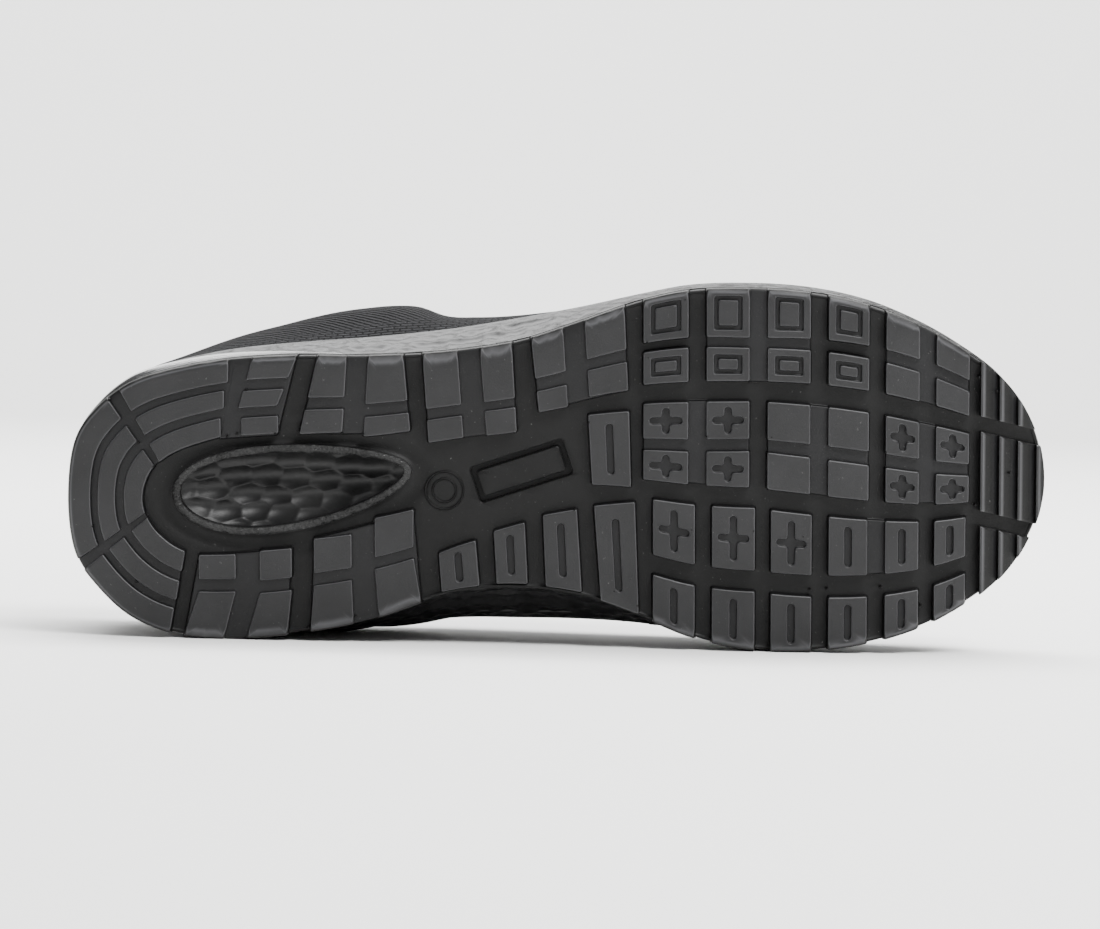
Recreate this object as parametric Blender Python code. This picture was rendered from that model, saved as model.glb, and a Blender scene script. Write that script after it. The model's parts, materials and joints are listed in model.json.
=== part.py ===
"""Safety sneaker, one right shoe, lying on its inner side with the sole upright.

The shoe is drawn in its own frame: X from the back of the heel to the toe, Y to the inner (medial)
side, Z up from the tread.  The last lines turn it about its long axis, so that it lies as it rests.
"""
import math

import bmesh
import bpy
import numpy as np
from mathutils import Matrix, Vector
from mathutils.bvhtree import BVHTree

# Driving sizes, in metres
LENGTH = 0.303
BALL_WIDTH = 0.112
HEEL_SPRING = 0.004
TOE_SPRING = 0.018
LUG_DEPTH = 0.0035
TIE_DEPTH = 0.0018
TIE_OVERLAP = 0.004
RECESS_DEPTH = 0.0013
BASE_THICKNESS = 0.0025
RIM_HEIGHT = 0.031
RIM_DEPTH = 0.005
RIM_WALL = 0.0025
BAND_STEP = 0.0012
FACET_DEPTH = 0.0008
COLLAR_HEIGHT = 0.098
WALL = 0.0025
COLLAR_PAD = 0.008
LIP_ROUND = 0.0008
INSOLE_THICKNESS = 0.004
TONGUE_THICKNESS = 0.005
TONGUE_SAG = 0.006
TONGUE_CURL = 0.004
LACE_WIDTH = 0.0065
LACE_THICKNESS = 0.0015
LACE_BOW = 0.0018
SEAM_GAP = 0.0003
WINDOW_LENGTH = 0.0688
WINDOW_WIDTH = 0.022
BEAD_WIDTH = 0.0025
BEAD_HEIGHT = 0.0022
HOLLOW_DEPTH = 0.006
SLOT_WIDTH = 0.0026
ISLAND_INSET = 0.0024
ISLAND_GROOVE = 0.0013
PANEL_LENGTH = 0.030
PANEL_WIDTH = 0.0115
BUTTON_RADIUS = 0.0058
MARK_HEIGHT = 0.001

# Counts
RING = 80
OUTSOLE_RING = 120
UPPER_ROWS = 9
LINING_ROWS = 7


def table(columns, rows):
    """A table whose named columns are arrays."""
    return dict(zip(columns.split(), np.array(rows, float).T))


# The sole from heel to toe.  along is a share of the length; the two edges of the tread and how far
# the midsole flares past them are shares of the ball width; rim is a share of the rim's height.
SOLE = table("along lateral medial lateral_flare medial_flare rim", [
    (0.000, 0.030, 0.030, 0.004, 0.006, 1.00),
    (0.005, -0.107, 0.157, 0.004, 0.006, 1.00),
    (0.030, -0.223, 0.270, 0.004, 0.008, 1.00),
    (0.066, -0.296, 0.355, 0.004, 0.010, 1.00),
    (0.116, -0.338, 0.404, 0.005, 0.012, 0.99),
    (0.165, -0.360, 0.414, 0.009, 0.014, 0.98),
    (0.231, -0.371, 0.401, 0.017, 0.028, 0.96),
    (0.314, -0.371, 0.358, 0.034, 0.055, 0.93),
    (0.396, -0.385, 0.288, 0.044, 0.098, 0.90),
    (0.462, -0.413, 0.277, 0.045, 0.108, 0.88),
    (0.525, -0.467, 0.300, 0.023, 0.088, 0.86),
    (0.584, -0.521, 0.355, 0.004, 0.044, 0.84),
    (0.630, -0.548, 0.406, 0.001, 0.010, 0.83),
    (0.693, -0.554, 0.445, 0.002, 0.004, 0.83),
    (0.756, -0.542, 0.450, 0.003, 0.004, 0.85),
    (0.815, -0.507, 0.433, 0.004, 0.004, 0.90),
    (0.868, -0.449, 0.394, 0.004, 0.004, 0.97),
    (0.921, -0.366, 0.323, 0.004, 0.004, 1.06),
    (0.957, -0.290, 0.251, 0.004, 0.004, 1.12),
    (0.987, -0.170, 0.138, 0.004, 0.004, 1.17),
    (1.000, -0.010, -0.010, 0.004, 0.004, 1.19),
])

# The upper around the foot.  along is where a section starts at the sole; mouth is where it ends on
# the collar or throat, as a share of the length; half and the bulges are shares of the ball width;
# top is a share of the collar's height; belly is the height share where the bulge is widest.
UPPER = table("along mouth half top lateral_bulge medial_bulge belly pad", [
    (0.000, 0.043, 0.000, 1.000, 0.036, 0.036, 0.45, 0.8),
    (0.030, 0.052, 0.105, 0.990, 0.030, 0.032, 0.48, 0.9),
    (0.100, 0.095, 0.215, 0.940, 0.024, 0.032, 0.54, 1.0),
    (0.200, 0.185, 0.270, 0.885, 0.056, 0.062, 0.60, 1.0),
    (0.300, 0.285, 0.265, 0.885, 0.108, 0.084, 0.62, 1.0),
    (0.360, 0.345, 0.205, 0.950, 0.092, 0.084, 0.58, 0.8),
    (0.420, 0.390, 0.155, 0.985, 0.042, 0.048, 0.42, 0.2),
    (0.520, 0.470, 0.142, 0.930, 0.018, 0.030, 0.34, 0.0),
    (0.660, 0.560, 0.135, 0.855, 0.006, 0.012, 0.32, 0.0),
    (0.800, 0.630, 0.110, 0.790, 0.004, 0.006, 0.32, 0.0),
    (0.920, 0.668, 0.060, 0.762, 0.000, 0.000, 0.32, 0.0),
    (1.000, 0.680, 0.000, 0.755, 0.000, 0.000, 0.32, 0.0),
])
FULLNESS = 2.3
MOUTH_SHIFT = 0.01

# The midsole's side from the tread to the rim: shares of its height and flare, and 1 where it is banded
MIDSOLE_SIDE = table("share flare banded", [
    (0.10, 0.04, 1.0),
    (0.40, 0.34, 1.0),
    (0.44, 0.42, 0.0),
    (0.66, 0.72, 0.0),
    (0.88, 0.97, 0.0),
])
# The hollow seen through the heel's window: how far each ring grows past the window, as a share of half
# its width, and its share of the hollow's depth
HOLLOW = table("grow depth", [
    (0.00, -0.10),
    (0.00, 0.10),
    (-0.10, 0.45),
    (-0.25, 0.80),
    (-0.50, 1.00),
])
# The flare eases in at both ends of the sole with this power of the turn's sine
FLARE_EASE = 0.25

# The curved heel lugs: bands at these depths in from the edge, shares of the ball width
HEEL_BANDS = table("outer inner", [
    (-0.030, 0.066),
    (0.086, 0.137),
    (0.161, 0.215),
])
# Their three sectors: places along the edge, outer side negative, and how far each end leans
HEEL_SECTORS = table("start end start_lean end_lean", [
    (-0.168, -0.054, 0.020, 0.000),
    (-0.042, 0.010, 0.000, 0.000),
    (0.016, 0.104, 0.000, 0.002),
])

# Lugs of the outer side behind the ball.  Ends along the sole at the edge and inboard; the other
# columns are shares across the sole, from the outer edge (0) to the inner edge (1).
OUTER_LUGS = table("start end start_in end_in broad narrow_near narrow_far", [
    (0.190, 0.236, 0.175, 0.215, 0.080, 0.117, 0.178),
    (0.256, 0.286, 0.237, 0.281, 0.154, 0.195, 0.283),
    (0.307, 0.343, 0.302, 0.350, 0.183, 0.229, 0.304),
    (0.362, 0.398, 0.368, 0.404, 0.226, 0.269, 0.363),
    (0.420, 0.453, 0.427, 0.458, 0.228, 0.263, 0.366),
    (0.472, 0.505, 0.480, 0.510, 0.168, 0.217, 0.302),
    (0.526, 0.567, 0.531, 0.571, 0.144, 0.183, 0.279),
])
# Lugs of the inner side of the heel, with the same kinds of columns
INNER_LUGS = table("start end start_in end_in narrow_near narrow_far broad", [
    (0.118, 0.159, 0.134, 0.172, 0.695, 0.785, 0.828),
    (0.182, 0.224, 0.196, 0.229, 0.688, 0.795, 0.838),
    (0.247, 0.292, 0.251, 0.290, 0.662, 0.788, 0.832),
    (0.317, 0.361, 0.313, 0.353, 0.614, 0.765, 0.808),
])
# The small block between the heel's window and its outer side
HEEL_BLOCK = (0.178, 0.216, 0.212, 0.276)
# Slotted lugs of the waist
WAIST_LUGS = table("start end near far", [
    (0.378, 0.416, 0.797, 1.050),
    (0.434, 0.466, 0.742, 1.050),
    (0.484, 0.519, 0.689, 1.050),
    (0.536, 0.578, 0.648, 1.050),
    (0.530, 0.572, 0.341, 0.590),
])

# The forefoot's columns of lugs, on the outer half and on the inner half of the sole
FORE_COLUMNS = table("start end start_inner end_inner", [
    (0.586, 0.632, 0.596, 0.639),
    (0.650, 0.694, 0.656, 0.700),
    (0.712, 0.756, 0.716, 0.758),
    (0.774, 0.816, 0.775, 0.815),
    (0.833, 0.868, 0.833, 0.868),
    (0.885, 0.920, 0.884, 0.917),
])
FIRST_INNER_ROW = 4
# Its rows as shares across the sole, where the waist ends, at the ball and at the toe
FORE_PLACES = (0.610, 0.700, 0.900)
FORE_ROWS = table("near_waist far_waist near_ball far_ball near_toe far_toe", [
    (-0.050, 0.136, -0.050, 0.136, -0.050, 0.108),
    (0.164, 0.266, 0.162, 0.254, 0.152, 0.250),
    (0.324, 0.434, 0.308, 0.412, 0.320, 0.444),
    (0.468, 0.562, 0.445, 0.547, 0.488, 0.596),
    (0.618, 0.790, 0.602, 0.777, 0.652, 0.808),
    (0.850, 1.050, 0.834, 1.050, 0.874, 1.050),
])
# What is sunk into each lug: r ring, x cross, s slot, a point for a plain face
FORE_RECESSES = ("rrrr..", "rrrr..", "xx..xx", "xx..xx", "xxxsss", "ssssss")
# How far a slot or cross ends from its lug's sides, and how far a cross reaches from its middle, as shares
RECESS_END = 0.15
CROSS_REACH = 0.34
# Shallow bars that tie neighbouring columns, row by row: 1 between a column and the next one
FORE_TIES = ("01001", "01001", "10101", "10101", "00010", "00000")
TIE_INSET = 0.25

# The three pads of the toe, across the sole at their rear end, and their ribs
TOE_PADS = table("near far", [
    (-0.050, 0.235),
    (0.300, 0.640),
    (0.705, 1.050),
])
TOE_START = 0.932
TOE_RIB = 0.0060
TOE_TURN = 0.27

# Shallow bars behind the forefoot, along and across
REAR_TIES = table("start end near far", [
    (0.160, 0.196, 0.020, 0.060),
    (0.276, 0.312, 0.030, 0.130),
    (0.390, 0.426, 0.040, 0.200),
    (0.500, 0.532, 0.040, 0.140),
    (0.150, 0.200, 0.850, 0.960),
    (0.284, 0.324, 0.850, 0.960),
    (0.160, 0.205, 0.710, 0.770),
    (0.284, 0.320, 0.690, 0.750),
])

# The window in the heel, the bare panel and the button of the waist
WINDOW_START = 0.1155
WINDOW_TAPER = 0.27
WINDOW_SHIFT = 0.011
WINDOW_DRIFT = 0.060
PANEL_AT = (0.4625, -0.0495)
PANEL_TURN = -0.31
BUTTON_AT = (0.384, 0.004)

# The tongue from its front end to its free end: half its width as a share of the ball width
TONGUE = table("along half", [
    (0.705, 0.130),
    (0.660, 0.160),
    (0.580, 0.190),
    (0.480, 0.205),
    (0.400, 0.172),
    (0.340, 0.155),
    (0.300, 0.152),
    (0.280, 0.125),
])
TONGUE_BEND = 0.40
TONGUE_FREE = 0.12
TONGUE_SLOPE = 0.25
TONGUE_THINNING = 0.6
EYELETS = (0.615, 0.570, 0.525, 0.480, 0.435, 0.392)
EYELET_OUT = 0.045

# Where the shoe's weight acts, as shares of the length and of the collar's height
BALANCE = (0.47, 0.24)


def smooth(stations, values, at):
    """Values of a cubic curve through a table; each slope comes from the rows on both sides."""
    slope = np.gradient(values, stations)
    at = np.clip(at, stations[0], stations[-1])
    row = np.clip(np.searchsorted(stations, at, side="right") - 1, 0, len(stations) - 2)
    step = stations[row + 1] - stations[row]
    t = (at - stations[row]) / step
    start = values[row] * (1 + 2 * t) * (1 - t) ** 2 + slope[row] * step * t * (1 - t) ** 2
    end = values[row + 1] * t * t * (3 - 2 * t) + slope[row + 1] * step * t * t * (t - 1)
    return start + end


def turn_of(along):
    """Angle of a place along the sole: 0 at the heel and pi at the toe, so both ends come out round."""
    return np.arccos(np.clip(1 - 2 * np.asarray(along, float), -1, 1))


def read(source, column, turn):
    """A column of a table at the given turns."""
    return smooth(turn_of(source["along"]), source[column], np.abs(turn))


def by_side(source, outer, inner, turn):
    """The outer column where the turn is negative, the inner column elsewhere."""
    return np.where(turn < 0, read(source, outer, turn), read(source, inner, turn))


def edge(turn, flare=0.0):
    """Plan points of the tread's edge, pushed out by a share of the midsole's flare."""
    along = (1 - np.cos(turn)) / 2
    side = np.where(turn < 0, -1.0, 1.0)
    out = flare * by_side(SOLE, "lateral_flare", "medial_flare", turn)
    across = by_side(SOLE, "lateral", "medial", turn) + side * out * np.abs(np.sin(turn)) ** FLARE_EASE
    return np.stack([along * LENGTH, across * BALL_WIDTH], axis=-1)


def ring_turns(count):
    """Turns of a ring that runs from the heel along the outer side to the toe, and back."""
    step = 2 * math.pi * np.arange(count) / count
    return np.where(step <= math.pi, -step, 2 * math.pi - step)


def inward(ring):
    """Unit normals that point into a closed plan ring."""
    tangent = np.roll(ring, -1, axis=0) - np.roll(ring, 1, axis=0)
    tangent /= np.linalg.norm(tangent, axis=1, keepdims=True)
    return np.stack([-tangent[:, 1], tangent[:, 0]], axis=1)


def tread_height(x):
    """Height of the tread: flat, with a short rise at the heel and the toe spring."""
    heel_length = 0.1 * LENGTH
    ball_end = 0.677 * LENGTH
    heel = HEEL_SPRING * np.clip((heel_length - x) / heel_length, 0, None) ** 2
    toe = TOE_SPRING * np.clip((x - ball_end) / (0.99 * LENGTH - ball_end), 0, None) ** 2
    return heel + toe


def floor_height(x):
    """Height of the midsole's top face, inside its rim."""
    return RIM_HEIGHT * read(SOLE, "rim", turn_of(x / LENGTH)) - RIM_DEPTH


def lift(plan, height):
    """Plan points with their heights."""
    return np.column_stack([plan, np.broadcast_to(height, len(plan))])


def mesh_object(name, points, faces, group):
    """An object made from points and faces."""
    mesh = bpy.data.meshes.new(name)
    mesh.from_pydata([tuple(point) for point in points], [], faces)
    mesh.update()
    item = bpy.data.objects.new(name, mesh)
    group.objects.link(item)
    return item


def lathe_faces(rings, count, closed=False):
    """Quads between rings of one count; closed joins the last ring to the first."""
    pairs = rings if closed else rings - 1
    return [
        (
            row * count + k,
            row * count + (k + 1) % count,
            (row + 1) % rings * count + (k + 1) % count,
            (row + 1) % rings * count + k,
        )
        for row in range(pairs)
        for k in range(count)
    ]


def cap_faces(first, count, upward):
    """Strips across a ring, from its heel point to its toe point."""
    half = count // 2
    faces = [(0, 1, count - 1)]
    faces += [(k, k + 1, count - k - 1, count - k) for k in range(1, half - 1)]
    faces += [(half - 1, half, half + 1)]
    return [tuple(first + k for k in (face if upward else face[::-1])) for face in faces]


def slab(name, rings, group):
    """A closed solid of stacked rings, capped below and above."""
    count = len(rings[0])
    faces = lathe_faces(len(rings), count)
    faces += cap_faces(0, count, False)
    faces += cap_faces((len(rings) - 1) * count, count, True)
    return mesh_object(name, np.vstack(rings), faces, group)


def prisms(name, outlines, low, high, group):
    """One mesh of upright prisms that follow the tread, between two heights above it."""
    points = []
    faces = []
    for outline in outlines:
        outline = np.asarray(outline, float)
        count = len(outline)
        first = len(points)
        base = tread_height(outline[:, 0])
        points += list(lift(outline, base + low))
        points += list(lift(outline, base + high))
        faces.append(tuple(range(first + count - 1, first - 1, -1)))
        faces.append(tuple(range(first + count, first + 2 * count)))
        faces += [
            (first + k, first + (k + 1) % count, first + count + (k + 1) % count, first + count + k)
            for k in range(count)
        ]
    return mesh_object(name, points, faces, group)


def ring_prisms(name, pairs, low, high, group):
    """One mesh of ring-shaped prisms: each pair is an outer and an inner outline of like points."""
    points = []
    faces = []
    for outer, inner in pairs:
        count = len(outer)
        first = len(points)
        loops = [(outer, low), (outer, high), (inner, high), (inner, low)]
        for outline, height in loops:
            outline = np.asarray(outline, float)
            points += list(lift(outline, tread_height(outline[:, 0]) + height))
        faces += [tuple(first + k for k in face) for face in lathe_faces(len(loops), count, closed=True)]
    return mesh_object(name, points, faces, group)


def boolean(item, name, operation, other, solver="EXACT"):
    """A boolean with an object that is not itself a part."""
    other.hide_render = True
    other.display_type = "WIRE"
    step = item.modifiers.new(name, "BOOLEAN")
    step.operation = operation
    step.object = other
    step.solver = solver


def place(along, share):
    """Plan point at a place along the sole and a share across it."""
    turn = turn_of(along)
    outer = read(SOLE, "lateral", turn)
    inner = read(SOLE, "medial", turn)
    return np.array([along * LENGTH, (outer + (inner - outer) * share) * BALL_WIDTH])


def lug(start, end, near, far, start_far=None, end_far=None, near_end=None, far_end=None):
    """Four corners of a lug, anticlockwise from above."""
    start_far = start if start_far is None else start_far
    end_far = end if end_far is None else end_far
    near_end = near if near_end is None else near_end
    far_end = far if far_end is None else far_end
    return np.array([place(start, near), place(end, near_end), place(end_far, far_end), place(start_far, far)])


def heel_bands():
    """The curved heel lugs: strips that run parallel to the edge."""
    outlines = []
    for start, end, start_lean, end_lean in zip(*HEEL_SECTORS.values()):
        for outer, inner in zip(*HEEL_BANDS.values()):
            loop = []
            for depth in (outer, inner):
                share = max(depth, 0) / HEEL_BANDS["inner"][-1]
                first = signed_turn(start + start_lean * share)
                last = signed_turn(end + end_lean * share)
                turns = np.linspace(first, last, 7)
                side = edge(turns + 0.002) - edge(turns - 0.002)
                side /= np.linalg.norm(side, axis=1, keepdims=True)
                normal = np.stack([side[:, 1], -side[:, 0]], axis=1)
                loop.append(edge(turns) + normal * depth * BALL_WIDTH)
            outlines.append(np.vstack([loop[0][::-1], loop[1]]))
    return outlines


def signed_turn(along):
    """Turn of a place along the edge, negative on the outer side."""
    return math.copysign(1, along) * float(turn_of(abs(along)))


def rear_lugs():
    """Lugs of both sides of the heel and the waist."""
    outlines = [lug(*HEEL_BLOCK)]
    for start, end, start_in, end_in, broad, near, far in zip(*OUTER_LUGS.values()):
        def lean(share):
            part = max(share, 0) / far
            return start + (start_in - start) * part, end + (end_in - end) * part
        for low, high in ((-0.05, broad), (near, far)):
            outlines.append(lug(*lean(low), low, high, *lean(high)))
    for start, end, start_in, end_in, near, far, broad in zip(*INNER_LUGS.values()):
        outlines.append(lug(start_in, end_in, near, far))
        outlines.append(lug(start_in, end_in, broad, 1.05, start, end))
    return outlines


def waist_lugs():
    """Slotted lugs of the waist."""
    return [lug(*row) for row in zip(*WAIST_LUGS.values())]


def fore_share(name, row, along):
    """A forefoot row's edge at a place along, between its shares at the waist, ball and toe."""
    return float(np.interp(along, FORE_PLACES, [FORE_ROWS[name + "_" + at][row] for at in ("waist", "ball", "toe")]))


def fore_column(row, column):
    """Where a lug starts and ends along the sole."""
    half = "_inner" if row >= FIRST_INNER_ROW else ""
    return FORE_COLUMNS["start" + half][column], FORE_COLUMNS["end" + half][column]


def fore_lugs():
    """The forefoot's lugs, row by row and column by column, with the letter of each recess."""
    lugs = []
    for row, letters in enumerate(FORE_RECESSES):
        for column, letter in enumerate(letters):
            start, end = fore_column(row, column)
            corners = lug(
                start, end, fore_share("near", row, start), fore_share("far", row, start),
                near_end=fore_share("near", row, end), far_end=fore_share("far", row, end),
            )
            lugs.append((corners, letter))
    return lugs


def toe_pads():
    """The three pads that run out over the toe."""
    outlines = []
    tip = 1.02 * LENGTH
    rise = TOE_TURN * (tip - TOE_START * LENGTH)
    for near, far in zip(*TOE_PADS.values()):
        start = place(TOE_START, near)
        end = place(TOE_START, far)
        outlines.append([start, (tip, start[1] + rise), (tip, end[1] + rise), end])
    return outlines


def inside_edge(corners):
    """A lug's corners, pulled in where they reach past the sole's edge."""
    kept = []
    for x, y in corners:
        turn = turn_of(x / LENGTH)
        outer = float(read(SOLE, "lateral", turn)) * BALL_WIDTH
        inner = float(read(SOLE, "medial", turn)) * BALL_WIDTH
        kept.append((x, min(max(y, outer), inner)))
    return np.array(kept)


def between(corners, a, b):
    """Point of a lug at shares of its length and width."""
    c0, c1, c2, c3 = corners
    return (c0 * (1 - a) + c1 * a) * (1 - b) + (c3 * (1 - a) + c2 * a) * b


def trimmed(corners, inset):
    """A lug's corners, moved in from all its sides by a length."""
    a = inset / np.linalg.norm(corners[1] - corners[0])
    b = inset / np.linalg.norm(corners[3] - corners[0])
    return np.array([between(corners, *share) for share in ((a, b), (1 - a, b), (1 - a, 1 - b), (a, 1 - b))])


def slot_outline(corners, low, high):
    """A straight slot across the middle of a lug."""
    start = between(corners, 0.5, low)
    end = between(corners, 0.5, high)
    half = np.array([SLOT_WIDTH / 2, 0])
    return [start - half, start + half, end + half, end - half]


def cross_outline(corners, reach, low, high):
    """A cross: a bar along the lug and a slot across it."""
    middle = between(corners, 0.5, (low + high) / 2)
    start = between(corners, 0.5, low)
    end = between(corners, 0.5, high)
    left = between(corners, 0.5 - reach, (low + high) / 2)
    right = between(corners, 0.5 + reach, (low + high) / 2)
    h = SLOT_WIDTH / 2
    across = np.array([h, 0])
    along = np.array([0, h])
    return [
        start - across, start + across, middle + across - along, right - along, right + along,
        middle + across + along, end + across, end - across, middle - across + along,
        left + along, left - along, middle - across - along,
    ]


def window_outline(grow):
    """The egg-shaped window, grown on all sides: full behind, slim and drifting outward in front."""
    angle = np.linspace(0, 2 * math.pi, 28, endpoint=False)
    forward = np.cos(angle)
    share = (1 + forward) / 2
    x = WINDOW_START * LENGTH + WINDOW_LENGTH * share + grow * forward
    y = (WINDOW_WIDTH / 2 * (1 - WINDOW_TAPER * forward) + grow) * np.sin(angle)
    y += (WINDOW_SHIFT - WINDOW_DRIFT * share ** 2) * BALL_WIDTH
    return np.stack([x, y], axis=1)


def panel_outline(length, width):
    """The bare panel of the waist, turned a little out of line."""
    turn = np.array([[math.cos(PANEL_TURN), -math.sin(PANEL_TURN)], [math.sin(PANEL_TURN), math.cos(PANEL_TURN)]])
    corners = np.array([(-1, -1), (1, -1), (1, 1), (-1, 1)]) * (length / 2, width / 2)
    return corners @ turn.T + np.array(PANEL_AT) * (LENGTH, BALL_WIDTH)


def button_outline(radius):
    """The round button of the waist."""
    angle = np.linspace(0, 2 * math.pi, 16, endpoint=False)
    return np.stack([np.cos(angle), np.sin(angle)], axis=1) * radius + np.array(BUTTON_AT) * (LENGTH, BALL_WIDTH)


def make_outsole(parts, cutters):
    """The tread: a thin base that follows the toe spring, with every lug joined to it."""
    turns = ring_turns(OUTSOLE_RING)
    rim = edge(turns)
    base_edge = rim + inward(rim) * SEAM_GAP
    low = tread_height(base_edge[:, 0]) + LUG_DEPTH
    outsole = slab("outsole", [lift(base_edge, low), lift(base_edge, low + BASE_THICKNESS)], parts)

    outline_box = slab("outline_box", [lift(rim, -TOE_SPRING), lift(rim, 3 * TOE_SPRING)], cutters)
    root = LUG_DEPTH + BASE_THICKNESS / 2
    fore = fore_lugs()
    lugs = prisms(
        "lugs", heel_bands() + rear_lugs() + waist_lugs() + [corners for corners, _ in fore] + toe_pads(),
        0.0, root, cutters,
    )
    boolean(lugs, "trim to the edge", "INTERSECT", outline_box, "MANIFOLD")
    boolean(outsole, "lugs", "UNION", lugs, "MANIFOLD")

    ties = [lug(*row) for row in zip(*REAR_TIES.values())]
    for row, marks in enumerate(FORE_TIES):
        for column, mark in enumerate(marks):
            if mark == "1":
                start = fore_column(row, column)[1] - TIE_OVERLAP
                end = fore_column(row, column + 1)[0] + TIE_OVERLAP
                near = max(fore_share("near", row, start), 0.02)
                far = min(fore_share("far", row, start), 0.98)
                inset = TIE_INSET * (far - near)
                ties.append(lug(start, end, near + inset, far - inset))
    boolean(outsole, "ties", "UNION", prisms("ties", ties, TIE_DEPTH, root, cutters), "MANIFOLD")

    bead = ring_prisms(
        "bead", [(window_outline(BEAD_WIDTH), window_outline(-SEAM_GAP))], LUG_DEPTH - BEAD_HEIGHT, root, cutters,
    )
    boolean(outsole, "bead", "UNION", bead, "MANIFOLD")
    window = prisms("window", [window_outline(0)], -LUG_DEPTH, LUG_DEPTH + 2 * BASE_THICKNESS, cutters)
    boolean(outsole, "window", "DIFFERENCE", window, "MANIFOLD")
    marks = [panel_outline(PANEL_LENGTH, PANEL_WIDTH), button_outline(BUTTON_RADIUS)]
    boolean(outsole, "marks", "UNION", prisms("marks", marks, LUG_DEPTH - MARK_HEIGHT, root, cutters), "MANIFOLD")

    sunk = []
    grooves = []
    for corners, letter in fore:
        corners = inside_edge(corners)
        if letter == "s":
            sunk.append(slot_outline(corners, RECESS_END, 1 - RECESS_END))
        if letter == "x":
            sunk.append(cross_outline(corners, CROSS_REACH, RECESS_END, 1 - RECESS_END))
        if letter == "r":
            frame = trimmed(corners, ISLAND_INSET)
            grooves.append((frame, trimmed(frame, ISLAND_GROOVE)))
    sunk += [slot_outline(inside_edge(corners), RECESS_END, 1 - RECESS_END) for corners in waist_lugs()]
    half = np.array([0, BALL_WIDTH / 2])
    for rib in np.arange(TOE_START * LENGTH + TOE_RIB, LENGTH, TOE_RIB):
        near = np.array([rib, 0])
        far = near + (SLOT_WIDTH / 2, 0)
        sunk.append([near - half, far - half, far + half, near + half])
    recesses = prisms("recesses", sunk, -RECESS_DEPTH, RECESS_DEPTH, cutters)
    boolean(outsole, "recesses", "DIFFERENCE", recesses, "MANIFOLD")
    rings = ring_prisms("rings", grooves, -RECESS_DEPTH, RECESS_DEPTH, cutters)
    boolean(outsole, "rings", "DIFFERENCE", rings, "MANIFOLD")
    return outsole


def make_midsole(parts, cutters):
    """The midsole: flared sides with a step and facets, a rim round the upper's foot, a hollow under the heel."""
    turns = ring_turns(RING)
    foot = edge(turns)
    flared = edge(turns, 1.0)
    into = inward(flared)
    low = tread_height(foot[:, 0]) + LUG_DEPTH + BASE_THICKNESS + SEAM_GAP
    rim = RIM_HEIGHT * read(SOLE, "rim", turns)
    along = foot[:, 0] / LENGTH
    band = np.where(turns < 0, np.clip((0.28 - along) / 0.20, 0, 1) * np.clip(along / 0.07, 0, 1), 0)
    shank = np.clip((0.66 - along) / 0.06, 0, 1) * np.clip((along - 0.12) / 0.1, 0, 1)
    number = np.arange(RING)
    rings = [lift(foot + inward(foot) * SEAM_GAP, low)]
    for row, (share, flare, banded) in enumerate(zip(*MIDSOLE_SIDE.values())):
        plan = foot + (flared - foot) * flare
        push = BAND_STEP * band * banded
        push = push + FACET_DEPTH * shank * (1 - banded) * ((number + row) % 2)
        rings.append(lift(plan - into * push[:, None], low + (rim - low) * share))
    rings.append(lift(flared, rim))
    inner = flared + into * RIM_WALL
    rings.append(lift(inner, rim))
    rings.append(lift(inner, floor_height(inner[:, 0])))
    midsole = slab("midsole", rings, parts)
    base = LUG_DEPTH + BASE_THICKNESS + SEAM_GAP
    points = [
        lift(window_outline(grow * WINDOW_WIDTH / 2 - SEAM_GAP), base + depth * HOLLOW_DEPTH)
        for grow, depth in zip(*HOLLOW.values())
    ]
    count = len(points[0])
    faces = lathe_faces(len(points), count)
    faces.append(tuple(range(count - 1, -1, -1)))
    faces.append(tuple(range((len(points) - 1) * count, len(points) * count)))
    hollow = mesh_object("heel_hollow", np.vstack(points), faces, cutters)
    boolean(midsole, "heel hollow", "DIFFERENCE", hollow)
    return midsole


def foot_ring(inset):
    """The line where the upper meets the midsole, set in from the rim."""
    flared = edge(ring_turns(RING), 1.0)
    return flared + inward(flared) * (RIM_WALL + SEAM_GAP + inset)


def upper_ring(rise, lining):
    """One ring of the upper, at a share of the way from the sole to the mouth of the shoe.

    Each section is a quarter of a full ellipse from the foot line to the mouth, pushed out by a soft
    bulge.  The lining has the same form, smaller by the wall and by the collar's padding.
    """
    turns = ring_turns(RING)
    wall = WALL if lining else 0.0
    foot = foot_ring(wall)
    side = np.where(turns < 0, -1.0, 1.0)
    mouth = np.stack([read(UPPER, "mouth", turns) * LENGTH, side * read(UPPER, "half", turns) * BALL_WIDTH], axis=1)
    mouth[:, 1] += MOUTH_SHIFT * BALL_WIDTH
    low = floor_height(foot[:, 0]) + RIM_DEPTH + SEAM_GAP
    high = COLLAR_HEIGHT * read(UPPER, "top", turns) - wall
    angle = rise * math.pi / 2
    in_share = 1 - max(math.cos(angle), 0) ** (2 / FULLNESS)
    up_share = math.sin(angle) ** (2 / FULLNESS)
    bulge = by_side(UPPER, "lateral_bulge", "medial_bulge", turns) * BALL_WIDTH
    bulge = bulge - (COLLAR_PAD * read(UPPER, "pad", turns) if lining else 0)
    belly = math.log(0.5) / np.log(read(UPPER, "belly", turns))
    out = bulge * np.sin(math.pi * up_share ** belly)
    plan = foot + (mouth - foot) * in_share - inward(foot) * out[:, None]
    return lift(plan, low + (high - low) * up_share)


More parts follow.
